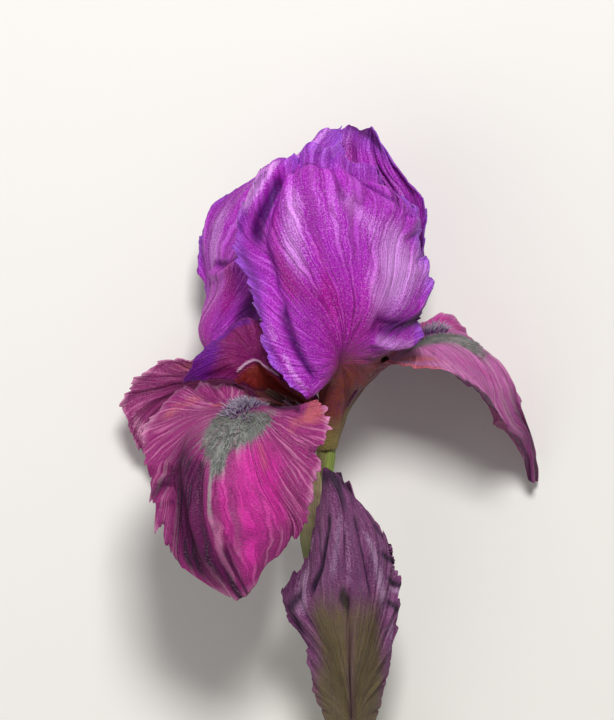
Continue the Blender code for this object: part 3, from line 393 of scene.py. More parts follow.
# Anthers: each point is how far out along the anther, and the radius there.
ANTHER_PROFILE = [(-1, 0.3), (-0.6, 0.55), (0.4, 0.72), (4, 0.75), (7.6, 0.62), (8.7, 0.4), (9, 0.15)]

# Spathe: turn and sweep of the wrap in degrees, then radius and sweep share along its route.
SPATHES = {
    "outer_spathe": dict(route=[(-2.3, -45.5, -11), (-2.6, -30, -6.6), (-2.2, -9, -1.8)],
                         turn=142, sweep=165, radii=(4.3, 6, 6.2, 5), taper=(0.7, 1, 0.95, 0.65)),
    "inner_spathe": dict(route=[(-2.3, -45.5, -11), (-2.6, -30, -6.6), (-1.6, -17, -3.6)],
                         turn=18, sweep=140, radii=(4.3, 6, 6.2, 5.6), taper=(0.7, 1, 0.8, 0.18)),
    "bud_outer_spathe": dict(route=[(11.4, -155, -28.2), (10.3, -134, -18.4), (9.2, -100, -6.5)],
                             turn=178, sweep=165, radii=(3.9, 6.4, 8.6, 11.5), taper=(0.8, 1, 0.8, 0.2)),
    "bud_inner_spathe": dict(route=[(11.4, -155, -28.2), (10.3, -134, -18.4), (9.4, -106, -8.5)],
                             turn=0, sweep=150, radii=(3.9, 6.4, 8.4, 10.8), taper=(0.8, 1, 0.8, 0.2)),
}

# Waves that run out along a petal's fan: spacing on the margin, height, the share of the way out
# where they start, and how far they are puffed between sharp creases.
STANDARD_WAVES = [(9, 2, 0.55, 0.3), (4.8, 1.6, 0.62, 0.8), (2.4, 0.9, 0.74, 0.6),
                  (7.5, 0.45, 0.1, 0.7), (3.4, 0.35, 0.25, 0.8), (1.3, 0.5, 0.84, 0.5)]
FALL_WAVES = [(8, 1.7, 0.55, 0.3), (4.2, 1.5, 0.62, 0.8), (2.3, 0.9, 0.74, 0.6), (6.5, 0.8, 0.15, 0.7),
              (3.2, 0.5, 0.3, 0.8), (1.3, 0.5, 0.84, 0.5)]
ARM_WAVES = [(5, 0.7, 0.45, 0.5), (2.5, 0.4, 0.6, 0.5), (3, 0.25, 0.1, 0.5)]
BUD_WAVES = [(6, 1.1, 0.4, 0.6), (3, 0.9, 0.5, 0.8), (1.8, 0.4, 0.65, 0.6), (4, 0.5, 0.05, 0.6)]

STANDARDS = {"front": FRONT_STANDARD, "left": LEFT_STANDARD, "back": BACK_STANDARD}
FALLS = {"front": FRONT_FALL, "right": RIGHT_FALL, "back": BACK_FALL}
ARMS = {"front": FRONT_ARM, "right": RIGHT_ARM, "back": BACK_ARM}


def linear(code):
    """An sRGB hex colour as linear light."""
    values = [int(code[i:i + 2], 16) / 255 for i in (0, 2, 4)]
    return tuple(v / 12.92 if v <= 0.04045 else ((v + 0.055) / 1.055) ** 2.4 for v in values)


def tone(name, code, description):
    """A colour property from its sRGB hex code."""
    return FloatVectorProperty(name=name, description=description, default=linear(code), size=3,
                               min=0.0, max=1.0, subtype="COLOR")


def length(name, size, description):
    """A length property in metres from its size in millimetres."""
    return FloatProperty(name=name, description=description, default=size * MM, min=0.0,
                         unit="LENGTH", precision=5)


class IrisColours(bpy.types.PropertyGroup):
    """Colours of the living tissues, petal by petal."""
    standard_base: tone("Standard", "ae1cbc", "Violet of the standards between their marks")
    standard_bright: tone("Standard sheen", "dc96ea", "Pale lilac where the standards catch the light")
    # Painted shade: this dark violet fills the folds and creases of the standards and the shadow one
    # standard casts on another.
    standard_deep: tone("Standard folds", "4a0464", "Dark violet inside the folds of the standards")
    standard_heart: tone("Standard heart", "b0089a", "Magenta round the midrib of the standards")
    standard_edge: tone("Standard margin", "8650d2", "Blue violet of the crinkled margins")
    standard_vein: tone("Standard veins", "64045c", "Dark veins that fan out over the standards")
    standard_claw: tone("Standard claw", "7e3a2a", "Olive brown of the claw below the standards")
    fall_base: tone("Fall", "943070", "Dusky rose of the falls")
    fall_pale: tone("Lit fall", "c868b0", "Paler violet pink of the fall that turns to the light")
    fall_bright: tone("Fall rays", "c82896", "Hot magenta of the falls' lit blade")
    # Painted shade: the dark band is the half of a fall beside its midrib that turns from the light; the
    # tone also shades the falls' folds and drooping tips.
    fall_deep: tone("Fall band", "2c0628", "Dark violet band along the midrib of the falls")
    fall_velvet: tone("Signal patch", "80817c", "Grey green velvet patch round the beard")
    # The pale pink rim, and also the tone of the painted highlight streaks on the falls.
    fall_edge: tone("Fall margin", "d894b8", "Pale pink rim of the falls")
    fall_vein: tone("Fall veins", "6e1456", "Dark veins that fan out over the falls")
    fall_haft: tone("Haft", "bc6068", "Coral of the haft beside the beard")
    velvet_nap: tone("Velvet nap", "4c5254", "Slate grey between the hairs of the velvet patch")
    petal_foot: tone("Petal foot", "887c44", "Olive green where a petal leaves the tube")
    arm_base: tone("Style arm", "780e5a", "Wine red of the style crest")
    arm_bright: tone("Style arm sheen", "8e2a6a", "Rose where the crest turns to the light")
    arm_deep: tone("Style crest sides", "640a88", "Violet sides of the style crest")
    arm_lip: tone("Stigmatic lip", "c8a0ba", "Pale line of the stigmatic lip")
    arm_edge: tone("Style arm margin", "5c1460", "Violet margin of the crest")
    arm_vein: tone("Style arm veins", "5a0c34", "Dark veins of the crest")
    arm_throat: tone("Throat", "82281a", "Red brown of the throat below the lip")
    bud_base: tone("Bud", "7a3c6c", "Dull purple of the furled falls")
    # Painted highlight on the ridges of the bud.
    bud_bright: tone("Bud sheen", "ac84a8", "Greyed lilac on the bud's ridges")
    # Painted shade in the bud's creases; the tone also darkens the furled core towards its tip.
    bud_deep: tone("Bud folds", "241428", "Slate violet in the bud's creases")
    bud_spot: tone("Bud spot", "1e1a14", "Near black olive spot above the bud's foot")
    bud_edge: tone("Bud margin", "7c3470", "Purple of the bud's frilled margins")
    bud_vein: tone("Bud veins", "462548", "Dark veins of the bud")
    bud_foot: tone("Bud foot", "665a3a", "Olive of the bud's foot")
    beard_root: tone("Beard roots", "5c2a6a", "Purple roots of the beard hairs")
    beard_tip: tone("Beard tips", "aca4b4", "Grey violet tips of the beard hairs")
    pile_shade: tone("Pile shade", "585c5a", "Darker grey of the short pile round the beard")
    # Painted shade: the anthers lie in the shade under the style arms, so their pollen and its grains are
    # drawn dark brown.
    pollen: tone("Pollen", "30160c", "Brown ochre pollen on the anthers")
    pollen_dust: tone("Pollen dust", "582c14", "Redder brown grains in the pollen")
    filament: tone("Filaments", "a88aa8", "Pale violet filaments")
    green: tone("Stalk green", "86a03c", "Fresh green of the stalk and tubes")
    green_dark: tone("Stalk shade", "4e602c", "Darker green of the ribs and the spathes' feet")
    blush: tone("Stalk blush", "6a4a48", "Purple brown blush on the green parts")
    olive: tone("Olive top", "6e6436", "Olive of the tubes below the petals")
    pith: tone("Cut pith", "c8cc98", "Pale pith of the cut end")
    paper: tone("Spathe", "b0a27c", "Papery straw of the spathes")
    paper_dark: tone("Spathe streaks", "6a5236", "Brown streaks and edges of the spathes")


class IrisSizes(bpy.types.PropertyGroup):
    """Sizes of the finer parts, and how finely the petals are cut."""
    petal: length("Petal thickness", 0.5, "Thickness of a standard or fall")
    margin: FloatProperty(name="Margin thinness", description="Share of the thickness left at the margin",
                          default=0.45, min=0.1, max=1.0, subtype="FACTOR")
    spathe: length("Spathe thickness", 0.4, "Thickness of the papery spathes")
    hair: length("Beard hair length", 4.4, "Length of the longest beard hairs")
    hair_radius: length("Beard hair radius", 0.2, "Radius of a beard hair at its root")
    rows: IntProperty(name="Petal rows", description="Cuts along each large petal", default=180,
                      min=20, max=220)
    columns: IntProperty(name="Petal columns", description="Cuts across each large petal", default=124,
                         min=16, max=150)


class IrisStage(bpy.types.PropertyGroup):
    """The floor, the lights and the camera."""
    floor: tone("Floor", "dedbd6", "Colour of the plain floor")
    floor_size: length("Floor size", 4000.0, "Width of the square floor")
    key: FloatProperty(name="Key light", description="Power of the soft key light", default=17.5,
                       min=0.0, subtype="POWER")
    fill: FloatProperty(name="Fill light", description="Power of the soft fill light", default=4.5,
                        min=0.0, subtype="POWER")
    sky: FloatProperty(name="Surround", description="Strength of the even light from all round",
                       default=0.24, min=0.0)


def unit(vectors):
    return vectors / np.maximum(np.linalg.norm(vectors, axis=-1, keepdims=True), 1e-9)


def run_length(points):
    """How far along a line of points each of them lies."""
    return np.concatenate([[0.0], np.cumsum(np.linalg.norm(np.diff(points, axis=0), axis=1))])


def natural_spline(points, stations):
    """Natural cubic spline through points at whole-number stations; it runs straight on at its ends."""
    points = np.asarray(points, float)
    count = len(points)
    flat = points.reshape(count, -1)
    matrix = np.eye(count) * 4.0
    bend = np.zeros_like(flat)
    for i in range(1, count - 1):
        matrix[i, i - 1] = matrix[i, i + 1] = 1.0
        bend[i] = 6.0 * (flat[i - 1] - 2.0 * flat[i] + flat[i + 1])
    matrix[0] = np.eye(count)[0]
    matrix[-1] = np.eye(count)[-1]
    curvature = np.linalg.solve(matrix, bend)
    stations = np.asarray(stations, float)
    inside = np.clip(stations, 0, count - 1)
    i = np.minimum(inside.astype(int), count - 2)
    part = (inside - i)[:, None]
    rest = 1.0 - part
    out = rest * flat[i] + part * flat[i + 1]
    out += ((rest ** 3 - rest) * curvature[i] + (part ** 3 - part) * curvature[i + 1]) / 6.0
    slope = flat[i + 1] - flat[i]
    slope += ((1 - 3 * rest ** 2) * curvature[i] + (3 * part ** 2 - 1) * curvature[i + 1]) / 6.0
    out += (stations - inside)[:, None] * slope
    return out.reshape((len(stations),) + points.shape[1:])


def smooth_route(points, count):
    """So many points on the smooth line through the given ones."""
    return natural_spline(points, np.linspace(0, len(points) - 1, count))


def around_axis(radius, up, side, azimuth):
    """A point by its distance out, up and sideways from the bloom's own axis."""
    pitch = math.radians(AXIS_PITCH)
    turn = math.radians(azimuth)
    axis = np.array([0.0, math.cos(pitch), math.sin(pitch)])
    front = np.array([0.0, -math.sin(pitch), math.cos(pitch)])
    right = np.array([1.0, 0.0, 0.0])
    outward = math.cos(turn) * right + math.sin(turn) * front
    across = math.sin(turn) * right - math.cos(turn) * front
    return axis * up + outward * radius + across * side


def arm_rows(profile, azimuth):
    """Rows of a style arm from its distances out and up."""
    return [(around_axis(out, up - drop, -half, azimuth), around_axis(out, up, 0, azimuth),
             around_axis(out, up - drop, half, azimuth), bow, bow)
            for out, up, half, drop, bow in profile]


def claw_row(azimuth):
    """Foot of a petal: a short chord of the ring of claws that sheathe the tube's rim."""
    up = RIM_UP - CLAW_DROP
    return (around_axis(CLAW_RADIUS, up, -CLAW_HALF_WIDTH, azimuth),
            around_axis(CLAW_RADIUS + CLAW_BULGE, up, 0, azimuth),
            around_axis(CLAW_RADIUS, up, CLAW_HALF_WIDTH, azimuth), CLAW_BOW, CLAW_BOW)


def cage(rows):
    """Five points across each row: the edges, the middle and the two bowed halves."""
    left, middle, right = [np.array([row[k] for row in rows], float) for k in range(3)]
    bow = np.array([row[3:5] for row in rows], float)
    arch = np.array([row[5] if len(row) > 5 else 0.0 for row in rows])[:, None]
    tangent = unit(np.gradient(middle, axis=0))
    normal = unit(np.cross(right - left, tangent))
    rise = arch * (middle - (left + right) / 2)
    left_half = (left + middle) / 2 + bow[:, :1] * normal + rise
    right_half = (middle + right) / 2 + bow[:, 1:] * normal + rise
    return np.stack([left, left_half, middle, right_half, right], axis=1)


def cage_points(rows, u, v):
    """Points of the cage's smooth surface at any u and v."""
    along = natural_spline(np.eye(len(rows)), u.ravel() * (len(rows) - 1))
    across = natural_spline(np.eye(5), (v.ravel() + 1) * 2)
    points = np.einsum("nr,nc,rcd->nd", along, across, cage(rows))
    return points.reshape(u.shape + (3,))


def cage_normals(rows, u, v):
    """Directions square to the cage's surface, from short steps along and across it."""
    step = 0.004
    ahead = cage_points(rows, u + step, v) - cage_points(rows, u - step, v)
    aside = cage_points(rows, u, v + step) - cage_points(rows, u, v - step)
    return unit(np.cross(aside, ahead))


def strokes(u, v, marks):
    """Sum of soft strokes over the petal, each as deep or strong as its last number says.

    From margin to margin v covers two units and u only one from foot to tip, so v is halved.
    """
    total = np.zeros_like(u)
    for u0, v0, u1, v1, width, strength in marks:
        start = np.array([u0, v0 * 0.5])
        run = np.array([u1, v1 * 0.5]) - start
        here = np.stack([u, v * 0.5], axis=-1) - start
        along = np.clip(here @ run / (run @ run), 0, 1)
        distance = np.linalg.norm(here - along[..., None] * run, axis=-1)
        total += strength * np.exp(-(distance / width) ** 2)
    return total


def solid_relief(petal, u, v):
    """How far the petal's solid leaves its cage, which the fine petal follows.

    The numbers here are the solid's own, so that the fine petal's waves fall on the solid's.
    """
    fan = np.arctan2(v * 0.78, u - petal["focus"])
    edge = np.maximum(np.abs(v), np.clip((u - petal["focus"]) / (1 - petal["focus"]), 0, 1))
    margin = np.clip((edge - 0.45) / 0.55, 0, 1) ** 1.6 * np.clip((u - 0.2) / 0.15, 0, 1)
    height = strokes(u, v, petal.get("folds", ()))
    for count, size, phase in petal["waves"]:
        height += size * np.sin(count * fan + phase) * margin
    return height


def wobble(x, y, seed):
    """Smooth noise between -1 and 1 from a seeded table, one cell a unit."""
    table = np.random.default_rng(seed).uniform(-1, 1, (NOISE_CELLS, NOISE_CELLS))
    i = np.floor(x).astype(int)
    j = np.floor(y).astype(int)
    a = (x - i) ** 2 * (3 - 2 * (x - i))
    b = (y - j) ** 2 * (3 - 2 * (y - j))
    i, after_i, j, after_j = [k % NOISE_CELLS for k in (i, i + 1, j, j + 1)]
    near = table[i, j] * (1 - a) + table[after_i, j] * a
    far = table[i, after_j] * (1 - a) + table[after_i, after_j] * a
    return near * (1 - b) + far * b


def fan_place(petal, u, v):
    """Where points lie in the fan of veins: millimetres round the margin and share of the way out."""
    focus = petal["fan"]
    side, tip = 80, 60
    up = np.linspace(0, 1, side)
    edge_u = np.concatenate([up, np.ones(tip), up[::-1]])
    edge_v = np.concatenate([-np.ones(side), np.linspace(-1, 1, tip), np.ones(side)])
    run = run_length(cage_points(petal["rows"], edge_u, edge_v))
    round_margin = np.interp(np.arctan2(v, u - focus), np.arctan2(edge_v, edge_u - focus), run)
    way_out = np.maximum.reduce([(u - focus) / (1 - focus), (focus - u) / focus, np.abs(v)])
    return round_margin, way_out


def calm_share(petal, u):
    """How much of the frill is left near the tip, for a petal whose tip is smooth."""
    return 1 - petal.get("calm_tip", 0.0) * np.clip((u - 0.85) / 0.1, 0, 1)


def draw_in(petal, u, v, seed, tear):
    """Draws the margin in towards the fan's focus: rounded corners, lobes and small teeth."""
    round_margin, way_out = fan_place(petal, u, v)
    level = round_margin * 0
    turn = np.arctan2(v, u - petal["fan"])
    corner = math.atan2(1.0, 1.0 - petal["fan"])
    lobes = wobble(round_margin / LOBE_SPACING, level, seed)
    teeth = sum(size * wobble(round_margin / spacing, level, seed + number)
                for number, (spacing, size) in enumerate(TEETH, 1))
    teeth *= calm_share(petal, u)
    jagged = 1 + 2.5 * strokes(u, v, petal.get("jagged", ()))
    torn = petal.get("tear", tear) * (LOBE_DEPTH * lobes + TEETH_DEPTH * teeth * jagged)
    depth = torn * np.clip((u - 0.1) / 0.15, 0, 1)
    depth += petal.get("corner", 0.04) * np.exp(-((np.abs(turn) - corner) / CORNER_WIDTH) ** 2)
    depth += strokes(u, v, petal.get("notches", ()))
    pull = 1 - depth * way_out ** 3
    return petal["fan"] + (u - petal["fan"]) * pull, v * pull


def fine_petal(petal, sizes, waves, seed, tear=1.0, claw_share=0.24):
    """Points of the fine petal's middle surface, with its place in the fan of veins and its zones."""
    rows, columns = petal.get("cuts", (sizes.rows, sizes.columns))
    u, v = np.meshgrid(np.linspace(0, 1, rows + 1), np.linspace(0, 1, columns + 1) * 2 - 1, indexing="ij")
    u, v = draw_in(petal, u, v, seed, tear)
    points = cage_points(petal["rows"], u, v)
    normals = cage_normals(petal["rows"], u, v)
    round_margin, way_out = fan_place(petal, u, v)
    past_claw = np.clip((u - 0.08) / 0.2, 0, 1)
    height = solid_relief(petal, u, v) + strokes(u, v, petal.get("creases", ()))
    for number, (spacing, size, start, puffed) in enumerate(waves):
        grown = np.clip((way_out - start) / 0.38, 0, 1) ** 1.5
        wave = wobble(round_margin / spacing, way_out * 1.6, seed + 5 + number)
        wave = (1 - puffed) * wave + puffed * (2 * np.abs(wave) - 0.7)
        height += size * wave * grown * past_claw * petal.get("frill", 1.0)
    height *= calm_share(petal, u)
    dents = wobble(points[..., 0] / 4 + points[..., 2] / 6, points[..., 1] / 4, seed + 20)
    height += DENT_DEPTH * dents * past_claw
    steps = np.linalg.norm(np.diff(points, axis=1), axis=-1)
    across = np.concatenate([np.zeros((len(points), 1)), np.cumsum(steps, axis=1)], axis=1)
    middle = points.shape[1] // 2
    across = across - across[:, middle:middle + 1]
    groove = np.exp(-(across / MIDRIB_HALF_WIDTH) ** 2) * np.clip((u - 0.1) / 0.2, 0, 1) * (1 - u)
    height -= MIDRIB_DEPTH * groove
    points = points + normals * height[..., None]
    points[..., 2] = np.maximum(points[..., 2], TABLE_Z + sizes.petal / MM / 2 + TABLE_GAP)
    zones = [np.clip(strokes(u, v, petal.get(key, ())), 0, 1)
             for key in ("deep", "bright", "heart", "haft")]
    claw_end = petal.get("claw_share", claw_share) + petal.get("claw_tilt", 0.0) * v
    zones[2] = np.maximum(zones[2], np.clip(1.1 - way_out / petal.get("heart_reach", 0.001), 0, 0.75))
    zones[3] = np.maximum(zones[3], np.clip((claw_end - u) / petal.get("claw_fade", 0.08), 0, 1))
    return points, np.stack([round_margin, way_out, across], axis=-1), np.stack(zones, axis=-1)


def to_world(points):
    """Millimetres of the bloom's frame to metres on the table."""
    return (np.asarray(points, float) - WORLD_ORIGIN) * MM


def opaque(colour):
    return (*colour, 1.0)


def tones(colours, names, part=""):
    """The named colours of the iris, or of one part of it, with their full alpha."""
    return [opaque(getattr(colours, part + name)) for name in names.split()]


def fill_sockets(node, sockets):
    """Gives a node's sockets, in their order or by name or number, values or links.

    A link comes from an output, or from a node, which stands for the first of its outputs in use.
    """
    if not isinstance(sockets, dict):
        sockets = dict(enumerate(sockets))
    for socket, value in sockets.items():
        if isinstance(value, bpy.types.Node):
            value = next(output for output in value.outputs if output.enabled)
        if isinstance(value, bpy.types.NodeSocket):
            node.id_data.links.new(value, node.inputs[socket])
        else:
            node.inputs[socket].default_value = value


def add_node(tree, kind, sockets=(), **settings):
    """Adds a node with its settings, and fills its sockets."""
    node = tree.nodes.new("ShaderNode" + kind)
    for name, value in settings.items():
        setattr(node, name, value)
    fill_sockets(node, sockets)
    return node


def new_material(name, roughness, **sockets):
    """A material with its shader's even values set; returns it with its tree and shader."""
    finish = bpy.data.materials.new(name)
    finish.use_nodes = True
    shader = finish.node_tree.nodes["Principled BSDF"]
    for socket, value in {"Roughness": roughness, **sockets}.items():
        shader.inputs[socket.replace("_", " ")].default_value = value
    return finish, finish.node_tree, shader


def pattern_inputs(tree):
    """What a piece's patterns read: its place in the fan, its four colour zones and its coordinates."""
    fan = add_node(tree, "Attribute", attribute_name="fan")
    zones = add_node(tree, "Attribute", attribute_name="zones")
    place = add_node(tree, "SeparateXYZ", (fan.outputs["Vector"],))
    zone = add_node(tree, "SeparateColor", (zones.outputs["Color"],))
    where = add_node(tree, "TexCoord")
    return place.outputs, (*zone.outputs, zones.outputs["Alpha"]), where.outputs


def vein_lines(tree, across, along, spacing, stretch, width):
    """Lines that run along the fan, join and fork: where a stretched noise crosses its middle.

    Returns the lines, and the noise itself, which shows as soft streaks.
    """
    x = add_node(tree, "Math", (across, 1.0 / spacing), operation="MULTIPLY")
    y = add_node(tree, "Math", (along, stretch), operation="MULTIPLY")
    place = add_node(tree, "CombineXYZ", (x, y))
    streak = add_node(tree, "TexNoise", {"Vector": place, "Scale": 1.0, "Detail": 1.0},
                      noise_dimensions="2D")
    off = add_node(tree, "Math", (streak, 0.5), operation="SUBTRACT")
    distance = add_node(tree, "Math", (off,), operation="ABSOLUTE")
    return add_node(tree, "MapRange", (distance, 0.0, width, 1.0, 0.0)), streak


def petal_material(name, colours, part, names, roughness, edge_from, line_strength, foot_reach,
                   velvet=False):
    """Living petal tissue: a thin, moist, finely celled sheet.

    The eye sees a fan of dark veins, soft streaks between them, a crinkled margin of another
    tone and a crystalline sparkle from the cells. The sparkle is painted into the colour as fine
    pale grain: painted glints, strongest where the sheen is, with painted shade in the dark grains.
    Cells are about 0.05 mm and far too fine to show, so the grain is drawn at 0.5 mm. The ridges
    of the furrows take a painted highlight and their valleys painted shade. Where the petal is
    velvet, a matt grey nap lies over its heart and its grain is softer.

    The names are those of its base, sheen (a painted highlight), folds (painted shade on the
    petals, the violet sides of the crest on the style arms), heart, margin, veins and haft. Edge_from
    is the share of the way out where the margin's tone starts, and foot_reach how far the green foot goes.
    """
    finish, tree, shader = new_material(name, roughness, Subsurface_Weight=0.3, Subsurface_Scale=0.001,
                                        Subsurface_Radius=(1.0, 0.4, 0.9), Specular_IOR_Level=0.22)
    add = functools.partial(add_node, tree)
    base, bright, deep, heart, edge, vein, haft = tones(colours, names, part)
    (fan, out, across), zones, where = pattern_inputs(tree)
    # The streaks of painted highlight take the margin's pale pink on velvet falls and the sheen tone
    # elsewhere; the furrows' valleys take painted shade.
    if velvet:
        streaky, grainy, heart_spread, swell = 1.0, 1.3, 0.7, 1.2
        lit_tone, lit_most, furrow_shade_most = edge, 0.42, 0.40
    else:
        streaky, grainy, heart_spread, swell = 0.5, 2.4, 0.45, 0.8
        lit_tone, lit_most, furrow_shade_most = bright, 0.18, 0.30
    mottle = add("TexNoise", {"Vector": where["Object"], "Scale": 110.0, "Detail": 3.0})
    grain = add("TexNoise", {"Vector": where["Object"], "Scale": 2000.0, "Detail": 1.0})
    shift = add("Math", (mottle, 3.0, fan), operation="MULTIPLY_ADD")
    main, ridge = vein_lines(tree, shift, out, spacing=4.2, stretch=1.5, width=0.05)
    fine, furrow = vein_lines(tree, shift, out, spacing=1.5, stretch=2.2, width=0.08)
    streak = vein_lines(tree, shift, out, spacing=2.8, stretch=0.9, width=0.05)[1]
    net = vein_lines(tree, across, out, spacing=0.9, stretch=5.0, width=0.06)[0]

    blend = add("Math", (streak, furrow), operation="ADD")
    blend = add("Math", (blend, streaky), operation="MULTIPLY")
    blend = add("Math", (grain, grainy, blend), operation="MULTIPLY_ADD")
    middle = streaky + grainy / 2
    uneven = add("MapRange", (blend, middle - 0.45, middle + 0.45, -0.5, 0.5))
    masks = []
    for zone, spread in zip(zones, (0.35, 0.4, heart_spread, 0.4)):
        ragged = add("Math", (uneven, spread, zone), operation="MULTIPLY_ADD")
        masks.append(add("MapRange", (ragged, 0.18, 0.90)))
    in_deep, in_bright, in_heart, in_haft = masks
    rim = add("MapRange", (out, edge_from, 1.0, 0.0, 0.7))
    # Painted light and shade: the ridges of the furrows take a painted highlight and their valleys painted
    # shade in the veins' tone; the dark grains are painted shade and the pale grains painted glints,
    # strongest where the sheen is. clear keeps the glints and the haft's stain out of the deep zone.
    lit = add("MapRange", (furrow, 0.48, 0.72, 0.0, lit_most))
    painted_furrow_shade = add("MapRange", (furrow, 0.28, 0.50, furrow_shade_most, 0.0))
    shade = add("MapRange", (grain, 0.28, 0.50, 0.24, 0.0))
    sparkle = add("MapRange", (grain, 0.50, 0.72, 0.0, 0.7))
    clear = add("MapRange", (in_deep, 0.0, 1.0, 1.0, 0.25))
    glint = add("Math", (in_bright, 0.7, 0.5), operation="MULTIPLY_ADD")
    for dimmer in (sparkle, clear):
        glint = add("Math", (glint, dimmer), operation="MULTIPLY")

    fade = add("MapRange", (out, 0.1, 1.0, line_strength, line_strength * 0.5))
    strong = add("Math", (main, fade), operation="MULTIPLY")
    grown = add("MapRange", (out, 0.2, 0.5, 0.0, line_strength * 0.6))
    weak = add("Math", (fine, grown), operation="MULTIPLY")
    veins = add("Math", (strong, weak), operation="MAXIMUM")
    lines = add("Math", (net, veins), operation="MAXIMUM")
    netted = add("Math", (lines, 0.5), operation="MULTIPLY")
    throat = add("Mix", {0: netted, 6: haft, 7: vein}, data_type="RGBA")
    foot = add("SeparateXYZ", (where["UV"],))
    green = add("MapRange", (foot.outputs[1], foot_reach * 0.3, foot_reach, 0.9, 0.0))
    stained = add("Math", (in_haft, clear), operation="MULTIPLY")

    ends = [(stained, throat), (green, opaque(colours.petal_foot))]
    if velvet:
        pile = add("MapRange", (fine, 0.0, 1.0, 0.0, 0.55))
        nap = add("Mix", {0: pile, 6: heart, 7: opaque(colours.velvet_nap)}, data_type="RGBA")
        over_heart, ends = [], [*reversed(ends), (in_heart, nap)]
    else:
        over_heart = [(in_heart, heart)]
    # Of these layers, the lit streaks, the sheen, the glints, the dark grains, the darkened furrow valleys
    # and, on the petals, the deep zone are painted light and shade.
    colour = base
    for mask, over in [(rim, edge), (lit, lit_tone), (in_bright, bright), (in_deep, deep), *over_heart,
                       (painted_furrow_shade, vein), (glint, bright), (shade, deep), (veins, vein), *ends]:
        colour = add("Mix", {0: mask, 6: colour, 7: over}, data_type="RGBA")
    rough = add("MapRange", (grain, 0.3, 0.7, roughness + 0.15, roughness - 0.12))
    relief = grain
    for layer, weight in ((veins, -1.0), (furrow, swell), (ridge, 0.5), (streak, 0.5)):
        relief = add("Math", (layer, weight, relief), operation="MULTIPLY_ADD")
    bump = add("Bump", {"Strength": 0.7, "Distance": 0.0006, "Height": relief})
    fill_sockets(shader, {"Base Color": colour, "Roughness": rough, "Normal": bump})
    return finish


def green_material(colours):
    """Smooth green stalk tissue under a faint waxy bloom, with fine ribs along it."""
    finish, tree, shader = new_material("green stalk tissue", 0.62, Subsurface_Weight=0.1,
                                        Subsurface_Scale=0.002)
    add = functools.partial(add_node, tree)
    green, dark, blush, olive, pith = tones(colours, "green green_dark blush olive pith")
    (around, along, _), (in_blush_and_shade, in_cut, in_olive_and_shade, _), where = pattern_inputs(tree)
    mottle = add("TexNoise", {"Vector": where["Object"], "Scale": 160.0, "Detail": 4.0})
    line, streak = vein_lines(tree, around, along, spacing=1.1, stretch=0.03, width=0.10)
    ribs = add("Math", (line, 0.5), operation="MULTIPLY")
    cloud = add("MapRange", (mottle, 0.42, 0.70, 0.0, 0.4))
    # On the perianth tube the blush and olive zones also carry painted shade over its left side, besides
    # their own tint.
    blush_and_shade = add("Math", (in_blush_and_shade, cloud), operation="MAXIMUM")
    colour = green
    for mask, over in ((ribs, dark), (blush_and_shade, blush), (in_olive_and_shade, olive), (in_cut, pith)):
        colour = add("Mix", {0: mask, 6: colour, 7: over}, data_type="RGBA")
    bump = add("Bump", {"Strength": 0.4, "Distance": 0.0003, "Height": streak})
    fill_sockets(shader, {"Base Color": colour, "Normal": bump})
    return finish


def paper_material(colours):
    """Dry papery bract: thin, matt and straw coloured, with brown fibres and blotches and a green foot."""
    finish, tree, shader = new_material("papery spathe", 0.75, Subsurface_Weight=0.2,
                                        Subsurface_Scale=0.002)
    add = functools.partial(add_node, tree)
    straw, brown, green = tones(colours, "paper paper_dark green_dark")
    (around, along, _), _, where = pattern_inputs(tree)
    mottle = add("TexNoise", {"Vector": where["Object"], "Scale": 220.0, "Detail": 5.0})
    line, streak = vein_lines(tree, around, along, spacing=0.9, stretch=2.0, width=0.09)
    fibres = add("Math", (line, 0.55), operation="MULTIPLY")
    foot = add("MapRange", (along, 0.25, 0.75, 0.85, 0.0))
    blotch = add("MapRange", (mottle, 0.50, 0.70, 0.0, 0.6))
    colour = straw
    for mask, over in ((foot, green), (fibres, brown), (blotch, brown)):
        colour = add("Mix", {0: mask, 6: colour, 7: over}, data_type="RGBA")
    bump = add("Bump", {"Strength": 0.7, "Distance": 0.0004, "Height": streak})
    fill_sockets(shader, {"Base Color": colour, "Normal": bump})
    return finish


def hair_material(colours):
    """Beard hairs: stout, matt and slightly see-through, purple at the root and frosted at the tip.

    The short pile of the velvet patch is of the same hairs in grey.
    """
    finish, tree, shader = new_material("beard hair", 0.6, Subsurface_Weight=0.1, Subsurface_Scale=0.001)
    add = functools.partial(add_node, tree)
    root, tip, shade, velvet = tones(colours, "beard_root beard_tip pile_shade fall_velvet")
    (_, along, _), (in_pile, *_), where = pattern_inputs(tree)
    mottle = add("TexNoise", {"Vector": where["Object"], "Scale": 700.0})
    uneven = add("MapRange", (mottle, 0.3, 0.7, -0.25, 0.25))
    share = add("Math", (along, uneven), operation="ADD")
    frosted = add("MapRange", (share, 0.25, 0.95))
    pile = add("Mix", {0: mottle, 6: shade, 7: velvet}, data_type="RGBA")
    colour = root
    for mask, over in ((frosted, tip), (in_pile, pile)):
        colour = add("Mix", {0: mask, 6: colour, 7: over}, data_type="RGBA")
    fill_sockets(shader, {"Base Color": colour})
    return finish


